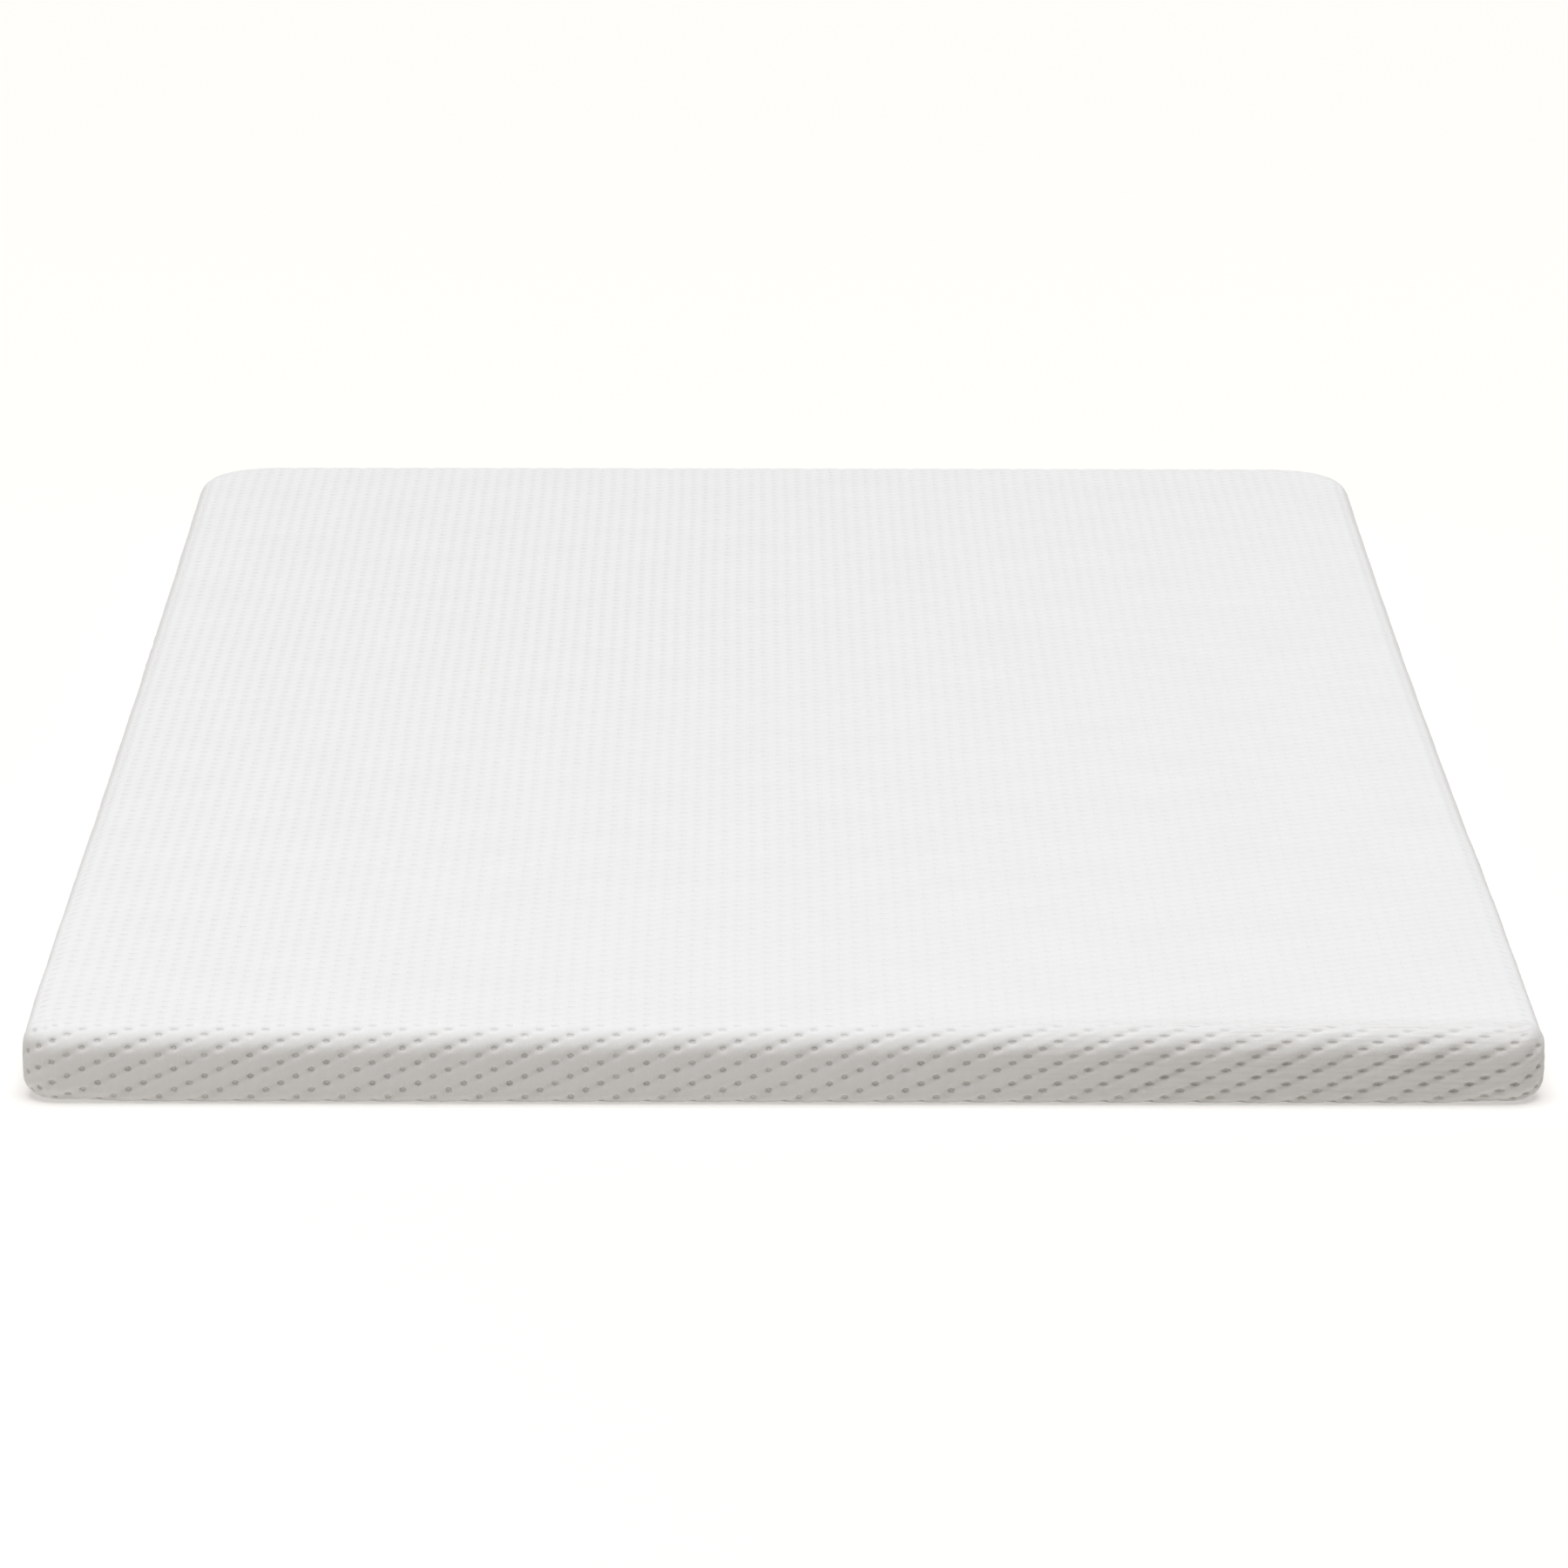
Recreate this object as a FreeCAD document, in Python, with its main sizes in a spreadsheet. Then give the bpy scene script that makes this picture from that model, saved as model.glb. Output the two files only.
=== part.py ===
# Memory foam mattress: two bonded foam layers in a knitted sock, inside a thick knitted cover that
# opens with a zip along its rear end.
# Frame: +Z up, +Y towards the rear (zip) end, origin at the centre of the underside. Millimetres.
import FreeCAD, Part
import Sketcher
import os
import re

NODES_FOLDER = "parts"

# Driving sizes: alias, value, what it is.
SIZES = (
    ("bed_width", 990.0, "overall width, along X"),
    ("bed_length", 1905.0, "overall length of the cover, along Y"),
    ("bed_height", 50.0, "overall height"),
    ("front_corner", 24.0, "plan radius of the two front corners"),
    ("rear_corner", 66.0, "plan radius of the two rear corners"),
    ("top_edge", 18.0, "radius of the rounded top edge"),
    ("bottom_edge", 14.0, "radius of the rounded bottom edge"),
    ("cloth", 2.4, "thickness of the cover's air-layer knit"),
    ("side_ease", 3.0, "slack between the cover and the sock, at the sides"),
    ("top_ease", 0.3, "slack between the cover and the sock, at the top"),
    ("liner_wall", 0.6, "thickness of the sock"),
    ("foam_ease", 0.2, "slack between the sock and the foam"),
    ("comfort_height", 20.0, "thickness of the memory foam"),
    ("bond_height", 0.3, "thickness of the adhesive film"),
    ("seam_inset", 20.0, "base seam, inside the outline"),
    ("seam_width", 1.0, "width of the base seam's thread"),
    ("base_corner", 45.0, "plan radius of the base seam"),
    ("trim", 0.4, "thickness of thread rows and label on the cover"),
    ("liner_seam", 0.8, "section of the sock's end seams"),
    ("zip_margin", 42.0, "flat wall left between the zip opening and the corner"),
    ("slot_half", 6.0, "half the height of the zip opening"),
    ("tape_width", 11.0, "width of one zip tape"),
    ("tape_thick", 0.6, "thickness of the zip tapes"),
    ("tape_overrun", 9.0, "tape that runs on past each end of the opening"),
    ("chain_half", 3.1, "half the width of the closed chain"),
    ("chain_thick", 2.2, "thickness of the chain"),
    ("chain_gap", 0.2, "gap between the two coil rows"),
    ("chain_end", 8.0, "bare tape between the opening's end and a stop"),
    ("stop_length", 2.5, "length of the stops"),
    ("stop_thick", 3.4, "thickness of the stops"),
    ("thread_row", 0.6, "width of a sewn row"),
    ("row_set", 1.3, "sewn row, outside the opening's edge"),
    ("tack_width", 2.0, "width of a bar tack"),
    ("slider_length", 12.4, "length of the slider"),
    ("slider_plate", 0.9, "thickness of the slider's plates"),
    ("slider_flange", 0.9, "thickness of the slider's side flanges"),
    ("slider_play", 0.3, "clearance between the slider and the chain"),
    ("tail_taper", 0.5, "how much narrower the slider's tail is, each side"),
    ("plan_corner", 1.6, "plan radius of the slider's corners"),
    ("metal_round", 0.3, "rounding along the slider's and the puller's edges"),
    ("post_set", 0.9, "wedge post, behind the slider's leading end"),
    ("post_length", 3.2, "length of the wedge post"),
    ("post_half", 1.2, "half the width of the wedge post"),
    ("bridge_length", 7.6, "length of the slider's bridge"),
    ("bridge_slope", 1.3, "how far the bridge's ends lean in"),
    ("bridge_half", 1.2, "half the width of the bridge"),
    ("bridge_cap", 1.2, "metal over the pin's bore"),
    ("pin_lift", 1.9, "pin axis above the slider's outer plate"),
    ("pin_radius", 0.7, "radius of the puller's cross bar"),
    ("pin_play", 0.06, "radial clearance of the cross bar in its bore"),
    ("window_half", 1.6, "half the width of the puller's window"),
    ("window_length", 5.4, "length of the window from the pin's axis"),
    ("arm_width", 1.5, "width of the puller's arms"),
    ("puller_heel", 1.2, "puller behind the pin's axis"),
    ("puller_length", 25.0, "puller in front of the pin's axis"),
    ("puller_thick", 1.2, "thickness of the puller"),
    ("grip_half", 3.6, "half the width of the puller's grip"),
    ("grip_hole", 1.3, "half the width of the hole in the grip"),
    ("label_length", 34.0, "length of the care label"),
    ("label_half", 8.5, "half the height of the care label"),
    ("label_gap", 0.6, "label, clear of the bar tack"),
)
ALIASES = re.compile(r"\b(" + "|".join(alias for alias, _, _ in SIZES) + r")\b")
OVERCUT = 5.0  # how far a cutting form runs past what it cuts

# Places that several pieces share, as formulas over the sheet's sizes.
SOCK_INSET = "(cloth + side_ease)"
SOCK_HOLLOW = "(cloth + side_ease + liner_wall)"
FOAM_INSET = "(cloth + side_ease + liner_wall + foam_ease)"
FOAM_LOW = "(cloth + liner_wall + foam_ease)"
FOAM_HIGH = "(bed_height - cloth - top_ease - liner_wall - foam_ease)"
BOND_HIGH = f"({FOAM_HIGH} - comfort_height)"
TOP_RADIUS = "min(top_edge; front_corner - 1)"
BOTTOM_RADIUS = "min(bottom_edge; front_corner - 1)"
REAR = "(bed_length / 2)"
ZIP_HEIGHT = "(bed_height / 2)"
ZIP_HALF = "(bed_width / 2 - rear_corner - zip_margin)"
TAPE_PLANE = "(bed_length / 2 - cloth - tape_thick / 2)"
CHAIN_STOP = f"({ZIP_HALF} - chain_end - stop_length)"
SLIDER_START = f"(-{CHAIN_STOP} + slider_play + slider_length / 2)"
CHAIN_START = f"({SLIDER_START} - slider_length / 2 + post_set + post_length + slider_play)"
CHANNEL_HALF = "(chain_half + slider_play)"
SLIDER_HALF = "(chain_half + slider_play + slider_flange)"
PLATE_FACE = "(chain_thick / 2 + slider_play + slider_plate)"
PIN_AXIS = f"({PLATE_FACE} + pin_lift)"
ROW_INNER = "(slot_half + row_set)"
ROW_OUTER = "(slot_half + row_set + thread_row)"


def bind(thing, prop, formula):
    """Bind a property to a formula over the sheet's aliases."""
    thing.setExpression(prop, ALIASES.sub(r"Sizes.\1", formula))


def write_sheet(doc):
    """The sheet of driving sizes: name, value and description, one row each."""
    sheet = doc.addObject("Spreadsheet::Sheet", "Sizes")
    for row, (alias, value, words) in enumerate(SIZES, start=1):
        sheet.set(f"A{row}", alias)
        sheet.set(f"B{row}", str(value))
        sheet.set(f"C{row}", words)
        sheet.setAlias(f"B{row}", alias)
    doc.recompute()


def new_sketch(body, role, name):
    """An empty sketch on one of the body's own origin planes."""
    plane = next(f for f in body.Origin.OriginFeatures if f.Role == role)
    sketch = body.newObject("Sketcher::SketchObject", name)
    sketch.AttachmentSupport = (plane, [""])
    sketch.MapMode = "FlatFace"
    return sketch


def draw_outline(sketch, points):
    """A closed outline of straight sides, each corner held by two formulas from the sketch's origin."""
    turn = 360.0 / len(points)
    start = FreeCAD.Vector(10.0, 1.0, 0.0)
    axis = FreeCAD.Vector(0.0, 0.0, 1.0)
    corners = [FreeCAD.Rotation(axis, turn * n).multVec(start) for n in range(len(points))]
    first = sketch.GeometryCount
    for n in range(len(points)):
        sketch.addGeometry(Part.LineSegment(corners[n], corners[(n + 1) % len(points)]), False)
    for n in range(len(points)):
        after = first + (n + 1) % len(points)
        sketch.addConstraint(Sketcher.Constraint("Coincident", first + n, 2, after, 1))
    for n, (across, up) in enumerate(points):
        for kind, formula, now in (("DistanceX", across, corners[n].x), ("DistanceY", up, corners[n].y)):
            held = sketch.addConstraint(Sketcher.Constraint(kind, -1, 1, first + n, 1, now))
            bind(sketch, f"Constraints[{held}]", formula)


def draw_circle(sketch, across, up, radius):
    """A circle whose centre and radius are formulas."""
    ring = sketch.addGeometry(Part.Circle(FreeCAD.Vector(1, 1, 0), FreeCAD.Vector(0, 0, 1), 1), False)
    for kind, formula in (("DistanceX", across), ("DistanceY", up)):
        held = sketch.addConstraint(Sketcher.Constraint(kind, -1, 1, ring, 3, 1.0))
        bind(sketch, f"Constraints[{held}]", formula)
    held = sketch.addConstraint(Sketcher.Constraint("Radius", ring, 1.0))
    bind(sketch, f"Constraints[{held}]", radius)


def pad(body, sketch, length, symmetric=True):
    """Pad a sketch by a formula's length, about its plane or to one side."""
    feature = body.newObject("PartDesign::Pad", sketch.Name + "Pad")
    feature.Profile = sketch
    feature.SideType = "Symmetric" if symmetric else "One side"
    bind(feature, "Length", length)
    sketch.Document.recompute()
    return feature


def pocket(body, sketch, length):
    """Cut a sketch right through, about its plane, and check that it took material away."""
    before = body.Tip.Shape.Volume
    feature = body.newObject("PartDesign::Pocket", sketch.Name + "Pocket")
    feature.Profile = sketch
    feature.SideType = "Symmetric"
    bind(feature, "Length", length)
    sketch.Document.recompute()
    if not feature.Shape.Volume < before:
        raise RuntimeError(f"{feature.Name} cuts nothing")
    return feature


def fillet(body, base, chosen, radius, name):
    """Round the edges of the last feature that a test picks out."""
    names = [f"Edge{n}" for n, edge in enumerate(base.Shape.Edges, start=1) if chosen(edge)]
    feature = body.newObject("PartDesign::Fillet", name)
    feature.Base = (base, names)
    bind(feature, "Radius", radius)
    body.Document.recompute()
    return feature


def at_height(height):
    """A test for edges that lie level at a height."""
    return lambda edge: edge.BoundBox.ZLength < 0.01 and abs(edge.BoundBox.ZMin - height) < 0.01


def at_depth(depth):
    """A test for edges that lie in the plane Y = depth or in the plane Y = -depth."""
    return lambda edge: edge.BoundBox.YLength < 0.01 and abs(abs(edge.BoundBox.YMin) - depth) < 0.01


def is_upright(edge):
    """Whether an edge stands along Z."""
    return edge.BoundBox.ZLength > 0.01 and edge.BoundBox.YLength < 0.01


def is_thickness(edge):
    """Whether an edge runs along Y, through the thickness of a slider piece."""
    return edge.BoundBox.XLength < 0.01 and edge.BoundBox.ZLength < 0.01


def upright_at(side):
    """A test for upright edges at the front (-1) or the rear (1)."""
    return lambda edge: is_upright(edge) and edge.BoundBox.YMin * side > 0


def slab(doc, name, inset, low, high, corners=None, top=None, bottom=None):
    """A level block with rounded plan corners: inset inside the bed's outline, from low to high.

    corners are the front and rear plan radii, and top and bottom the edge radii where they are rounded.
    """
    body = doc.addObject("PartDesign::Body", name)
    half_width = f"bed_width / 2 - {inset}"
    half_length = f"bed_length / 2 - {inset}"
    outline = new_sketch(body, "XY_Plane", name + "Outline")
    points = []
    for x_sign, y_sign in (("-", "-"), ("", "-"), ("", ""), ("-", "")):
        points.append((f"{x_sign}({half_width})", f"{y_sign}({half_length})"))
    draw_outline(outline, points)
    bind(outline, ".AttachmentOffset.Base.z", low)
    last = pad(body, outline, f"{high} - {low}", symmetric=False)
    front, rear = corners or (f"front_corner - {inset}", f"rear_corner - {inset}")
    last = fillet(body, last, upright_at(-1), front, name + "FrontCorners")
    last = fillet(body, last, upright_at(1), rear, name + "RearCorners")
    if top:
        last = fillet(body, last, at_height(last.Shape.BoundBox.ZMax), top, name + "TopEdge")
    if bottom:
        last = fillet(body, last, at_height(last.Shape.BoundBox.ZMin), bottom, name + "BottomEdge")
    body.Tip = last
    doc.recompute()
    return body


def block(doc, name, x_span, y_span, z_span):
    """A box between pairs of formulas."""
    box = doc.addObject("Part::Box", name)
    for axis, size, (low, high) in zip("xyz", ("Length", "Width", "Height"), (x_span, y_span, z_span)):
        bind(box, f".Placement.Base.{axis}", low)
        bind(box, size, f"({high}) - ({low})")
    return box


def combine(doc, kind, name, base, tool):
    """A boolean of two objects: Cut or Common."""
    result = doc.addObject("Part::" + kind, name)
    result.Base = base
    result.Tool = tool
    return result


def gather(doc, name, shapes):
    """Several separate solids as one compound."""
    result = doc.addObject("Part::Compound", name)
    result.Links = shapes
    return result


def around_zip(low, high):
    """A pair of heights measured from the zip's centre line."""
    return (f"{ZIP_HEIGHT} + {low}", f"{ZIP_HEIGHT} + {high}")


def cover_forms(doc):
    """Nested rounded forms: the cover's outside and inside, the tapes' inside and the trim's outside."""
    forms = {}
    for name, inset in (("Outside", "0"), ("Inside", "cloth"), ("TapeInside", "(cloth + tape_thick)"),
                        ("TrimOutside", "(-trim)")):
        forms[name] = slab(doc, name, inset, inset, f"(bed_height - {inset})",
                           top=f"{TOP_RADIUS} - {inset}", bottom=f"{BOTTOM_RADIUS} - {inset}")
    return forms


def cover_pieces(doc, forms):
    """The cap, the strip under the zip, the base cloth and the seam between them."""
    seam = ("base_corner", "base_corner")
    opening = slab(doc, "BaseOpening", "seam_inset", f"-{OVERCUT}", f"cloth + {OVERCUT}", corners=seam)
    hollow = doc.addObject("Part::MultiFuse", "CoverHollow")
    hollow.Shapes = [forms["Inside"], opening]
    shell = combine(doc, "Cut", "CoverShell", forms["Outside"], hollow)
    across = (f"-{ZIP_HALF}", ZIP_HALF)
    depth = (f"{REAR} - seam_inset - {OVERCUT}", f"{REAR} + {OVERCUT}")
    under = f"-{ZIP_HEIGHT} - {OVERCUT}"
    slot = block(doc, "RearSlot", across, depth, around_zip(under, "slot_half"))
    strip = block(doc, "StripRegion", across, depth, around_zip(under, "(-slot_half)"))
    seam_form = slab(doc, "SeamForm", "seam_inset", "0", "cloth", corners=seam)
    inner = ("base_corner - seam_width", "base_corner - seam_width")
    seam_hollow = slab(doc, "SeamHollow", "(seam_inset + seam_width)", f"-{OVERCUT}", f"cloth + {OVERCUT}",
                       corners=inner)
    return {
        "cover_top": combine(doc, "Cut", "CoverTop", shell, slot),
        "rear_lower_strip": combine(doc, "Common", "RearLowerStrip", shell, strip),
        "base_seam_thread": combine(doc, "Cut", "BaseSeamThread", seam_form, seam_hollow),
        "cover_base": slab(doc, "CoverBase", "(seam_inset + seam_width)", "0", "cloth", corners=inner),
    }


def core_pieces(doc):
    """The sock with its end seams, the two foams and the film that bonds them."""
    sock_top = "(bed_height - cloth - top_ease)"
    sock = slab(doc, "SockOutside", SOCK_INSET, "cloth", sock_top,
                top=f"{TOP_RADIUS} - {SOCK_INSET}", bottom=f"{BOTTOM_RADIUS} - {SOCK_INSET}")
    hollow = slab(doc, "SockInside", SOCK_HOLLOW, "(cloth + liner_wall)", f"({sock_top} - liner_wall)",
                  top=f"{TOP_RADIUS} - {SOCK_HOLLOW}", bottom=f"{BOTTOM_RADIUS} - {SOCK_HOLLOW}")
    across = ("-(bed_width / 2 - rear_corner)", "bed_width / 2 - rear_corner")
    heights = ("bottom_edge - liner_seam / 2", "bottom_edge + liner_seam / 2")
    end = f"(bed_length / 2 - {SOCK_INSET})"
    seams = [
        block(doc, "SockFrontSeam", across, (f"-{end} - liner_seam", f"-{end}"), heights),
        block(doc, "SockRearSeam", across, (end, f"{end} + liner_seam"), heights),
    ]
    return {
        "inner_liner": combine(doc, "Cut", "InnerLiner", sock, hollow),
        "liner_end_seams": gather(doc, "LinerEndSeams", seams),
        "comfort_layer": slab(doc, "ComfortLayer", FOAM_INSET, BOND_HIGH, FOAM_HIGH,
                              top=f"{TOP_RADIUS} - {FOAM_INSET}"),
        "foam_bond": slab(doc, "FoamBond", FOAM_INSET, f"({BOND_HIGH} - bond_height)", BOND_HIGH),
        "support_layer": slab(doc, "SupportLayer", FOAM_INSET, FOAM_LOW, f"({BOND_HIGH} - bond_height)",
                              bottom=f"{BOTTOM_RADIUS} - {FOAM_INSET}"),
    }


def zip_tapes(doc, forms):
    """Two tapes against the inside of the wall, one above and one below the chain."""
    wall = combine(doc, "Cut", "TapeLayer", forms["Inside"], forms["TapeInside"])
    reach = (f"-{ZIP_HALF} - tape_overrun", f"{ZIP_HALF} + tape_overrun")
    depth = (f"{REAR} - rear_corner", REAR)
    above = around_zip("chain_half", "(chain_half + tape_width)")
    below = around_zip("(-chain_half - tape_width)", "(-chain_half)")
    upper = block(doc, "UpperTapeRegion", reach, depth, above)
    lower = block(doc, "LowerTapeRegion", reach, depth, below)
    return {
        "zip_tape_upper": combine(doc, "Common", "ZipTapeUpper", wall, upper),
        "zip_tape_lower": combine(doc, "Common", "ZipTapeLower", wall, lower),
    }


def zip_chain(doc):
    """The two coil rows, the pair of top stops and the single bottom stop."""
    run = (CHAIN_START, CHAIN_STOP)
    depth = (f"{TAPE_PLANE} - chain_thick / 2", f"{TAPE_PLANE} + chain_thick / 2")
    stop_depth = (f"{TAPE_PLANE} - stop_thick / 2", f"{TAPE_PLANE} + stop_thick / 2")
    top_stop = (f"-{CHAIN_STOP} - stop_length", f"-{CHAIN_STOP}")
    bottom_stop = (CHAIN_STOP, f"{CHAIN_STOP} + stop_length")
    upper_row = around_zip("chain_gap / 2", "chain_half")
    lower_row = around_zip("(-chain_half)", "(-chain_gap / 2)")
    stops = [
        block(doc, "UpperTopStop", top_stop, stop_depth, upper_row),
        block(doc, "LowerTopStop", top_stop, stop_depth, lower_row),
    ]
    return {
        "zip_coil_upper": block(doc, "ZipCoilUpper", run, depth, upper_row),
        "zip_coil_lower": block(doc, "ZipCoilLower", run, depth, lower_row),
        "zip_top_stops": gather(doc, "ZipTopStops", stops),
        "zip_bottom_stop": block(doc, "ZipBottomStop", bottom_stop, stop_depth,
                                 around_zip("(-chain_half)", "chain_half")),
    }


def trim_pieces(doc, forms):
    """Sewn rows, bar tacks and the care label, which all lie on the outside of the rear wall."""
    layer = combine(doc, "Cut", "TrimLayer", forms["TrimOutside"], forms["Outside"])
    depth = (f"{REAR} - rear_corner", f"{REAR} + {OVERCUT}")
    side = f"({ZIP_HALF} + tack_width)"
    between = (f"-{ZIP_HALF} + thread_row", f"{ZIP_HALF} - thread_row")
    tack_span = around_zip(f"(-{ROW_OUTER})", ROW_OUTER)
    end_span = (f"{BOTTOM_RADIUS} / 2", f"{ZIP_HEIGHT} - {ROW_OUTER}")
    tack_blocks = [
        block(doc, "LeftTackRegion", (f"-{side}", f"-{ZIP_HALF}"), depth, tack_span),
        block(doc, "RightTackRegion", (ZIP_HALF, side), depth, tack_span),
    ]
    end_blocks = [
        block(doc, "LeftEndRegion", (f"-{ZIP_HALF} - thread_row", f"-{ZIP_HALF}"), depth, end_span),
        block(doc, "RightEndRegion", (ZIP_HALF, f"{ZIP_HALF} + thread_row"), depth, end_span),
    ]
    label_span = (f"{side} + label_gap", f"{side} + label_gap + label_length")
    regions = {
        "zip_stitching_upper": block(doc, "UpperRowRegion", between, depth, around_zip(ROW_INNER, ROW_OUTER)),
        "zip_stitching_lower": block(doc, "LowerRowRegion", between, depth,
                                     around_zip(f"(-{ROW_OUTER})", f"(-{ROW_INNER})")),
        "zip_end_tacks": gather(doc, "TackRegions", tack_blocks),
        "strip_end_stitching": gather(doc, "EndRegions", end_blocks),
        "care_label": block(doc, "LabelRegion", label_span, depth, around_zip("(-label_half)", "label_half")),
    }
    return {node: combine(doc, "Common", node.title().replace("_", ""), layer, region)
            for node, region in regions.items()}


def place_on_zip(body):
    """Stand a slider piece at the closed end: its own X runs along the zip, and its Y outwards."""
    bind(body, ".Placement.Base.x", SLIDER_START)
    bind(body, ".Placement.Base.y", TAPE_PLANE)
    bind(body, ".Placement.Base.z", ZIP_HEIGHT)


def slider_body(doc):
    """Two plates on a wedge post, with flanges round the chain and a bored bridge on the outer plate."""
    body = doc.addObject("PartDesign::Body", "SliderBody")
    lead = "(-slider_length / 2)"
    tail = "(slider_length / 2)"
    narrow = f"({SLIDER_HALF} - tail_taper)"
    plan = new_sketch(body, "XZ_Plane", "SliderPlan")
    shoulder = "(slider_length / 6)"
    draw_outline(plan, [(lead, f"-{SLIDER_HALF}"), (shoulder, f"-{SLIDER_HALF}"), (tail, f"-{narrow}"),
                        (tail, narrow), (shoulder, SLIDER_HALF), (lead, SLIDER_HALF)])
    plates = pad(body, plan, f"2 * {PLATE_FACE}")
    plates = fillet(body, plates, is_thickness, "plan_corner", "SliderCorners")
    faces = at_depth(plates.Shape.BoundBox.YMax)
    fillet(body, plates, faces, "metal_round", "PlateEdges")
    half_channel = "(chain_thick / 2 + slider_play)"
    half_slit = "(tape_thick / 2 + slider_play)"
    channel = new_sketch(body, "YZ_Plane", "ChainChannel")
    draw_outline(channel, [(f"-{half_channel}", f"-{CHANNEL_HALF}"), (half_channel, f"-{CHANNEL_HALF}"),
                           (half_channel, CHANNEL_HALF), (f"-{half_channel}", CHANNEL_HALF)])
    pocket(body, channel, "2 * slider_length")
    # the post is added before the slits, which would leave the two plates apart without it
    post = new_sketch(body, "XZ_Plane", "WedgePost")
    post_front = f"({lead} + post_set)"
    draw_outline(post, [(post_front, "(-post_half)"), (f"({post_front} + post_length)", "(-post_half / 4)"),
                        (f"({post_front} + post_length)", "(post_half / 4)"), (post_front, "post_half")])
    pad(body, post, f"2 * ({half_channel} + slider_plate / 2)")
    slits = new_sketch(body, "YZ_Plane", "TapeSlits")
    for sign in ("-", ""):
        inner = f"{sign}(post_half + slider_play)"
        outer = f"{sign}({SLIDER_HALF} + slider_play)"
        draw_outline(slits, [(f"-{half_slit}", inner), (half_slit, inner),
                             (half_slit, outer), (f"-{half_slit}", outer)])
    pocket(body, slits, "2 * slider_length")
    bridge = new_sketch(body, "XY_Plane", "Bridge")
    foot = f"({PLATE_FACE} - slider_plate / 2)"
    crown = f"({PIN_AXIS} + pin_radius + pin_play + bridge_cap)"
    lean = f"({crown} - bridge_slope)"
    draw_outline(bridge, [("(-bridge_length / 2)", foot), ("(bridge_length / 2)", foot),
                          ("(bridge_length / 2)", lean), ("(bridge_length / 2 - bridge_slope)", crown),
                          ("(-bridge_length / 2 + bridge_slope)", crown), ("(-bridge_length / 2)", lean)])
    arch = pad(body, bridge, "2 * bridge_half")
    top = arch.Shape.BoundBox.YMax
    fillet(body, arch, lambda edge: edge.BoundBox.YMax > top - 0.01, "metal_round", "BridgeEdges")
    bore = new_sketch(body, "XY_Plane", "PinBore")
    draw_circle(bore, "0", PIN_AXIS, "pin_radius + pin_play")
    pocket(body, bore, "4 * bridge_half")
    place_on_zip(body)
    return body


def slider_puller(doc):
    """A flat tab with a window at one end, whose round cross bar runs through the slider's bridge."""
    body = doc.addObject("PartDesign::Body", "SliderPuller")
    arm = "(window_half + arm_width)"
    plan = new_sketch(body, "XZ_Plane", "PullerPlan")
    neck = "(window_length + arm_width)"
    draw_outline(plan, [("(-puller_heel)", f"-{arm}"), (neck, f"-{arm}"), ("puller_length / 2", "-grip_half"),
                        ("puller_length", "-grip_half"), ("puller_length", "grip_half"),
                        ("puller_length / 2", "grip_half"), (neck, arm), ("(-puller_heel)", arm)])
    tab = pad(body, plan, "puller_thick")
    tip = tab.Shape.BoundBox.XMax
    tab = fillet(body, tab, lambda edge: is_thickness(edge) and edge.BoundBox.XMin > tip - 0.01,
                 "grip_half * 0.8", "GripEnd")
    fillet(body, tab, at_depth(tab.Shape.BoundBox.YMax), "metal_round", "PullerEdges")
    window = new_sketch(body, "XZ_Plane", "PullerWindow")
    draw_outline(window, [("(-puller_heel * 2)", "-window_half"), ("window_length", "-window_half"),
                          ("window_length", "window_half"), ("(-puller_heel * 2)", "window_half")])
    pocket(body, window, "2 * puller_thick")
    hole = new_sketch(body, "XZ_Plane", "GripHole")
    draw_outline(hole, [("puller_length * 0.6", "-grip_hole"), ("puller_length * 0.86", "-grip_hole"),
                        ("puller_length * 0.86", "grip_hole"), ("puller_length * 0.6", "grip_hole")])
    pocket(body, hole, "2 * puller_thick")
    bar = new_sketch(body, "XY_Plane", "CrossBar")
    draw_circle(bar, "0", "0", "pin_radius")
    pad(body, bar, f"2 * ({arm} - arm_width / 4)")
    place_on_zip(body)
    bind(body, ".Placement.Base.y", f"{TAPE_PLANE} + {PIN_AXIS}")
    return body


def check(doc, nodes):
    """Stop if any object failed, or if a sub-part is empty or not valid."""
    for thing in doc.Objects:
        if "Invalid" in thing.State or "Error" in thing.State:
            raise RuntimeError(f"{thing.Name} failed: {thing.State}")
    for node, thing in nodes.items():
        if thing.Shape.isNull() or not thing.Shape.isValid() or not thing.Shape.Solids:
            raise RuntimeError(f"{node} has no valid solid")


def main():
    doc = FreeCAD.newDocument("MemoryFoamMattress")
    write_sheet(doc)
    forms = cover_forms(doc)
    nodes = cover_pieces(doc, forms)
    nodes.update(core_pieces(doc))
    nodes.update(zip_tapes(doc, forms))
    nodes.update(zip_chain(doc))
    nodes.update(trim_pieces(doc, forms))
    nodes["slider_body"] = slider_body(doc)
    nodes["slider_puller"] = slider_puller(doc)
    doc.recompute()
    check(doc, nodes)
    os.makedirs(NODES_FOLDER, exist_ok=True)
    for node, thing in nodes.items():
        thing.Label = node
        print(f"{node:22} solids {len(thing.Shape.Solids)}  volume {thing.Shape.Volume / 1000:10.3f} cm3")
        thing.Shape.exportStep(f"{NODES_FOLDER}/{node}.step")


main()
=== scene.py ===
# %% [markdown]
# # A memory foam mattress
# The mattress is a sandwich: two foams in a thin sock, inside a thick knitted cover that unzips at the rear
# end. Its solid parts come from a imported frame, and each soft part gets a surface of its own here, worked
# out with numpy. Everything is in metres, +Z is up, +Y runs to the rear end with the zip, and the origin is
# under the middle.

# %% Load the frame
import math

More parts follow.
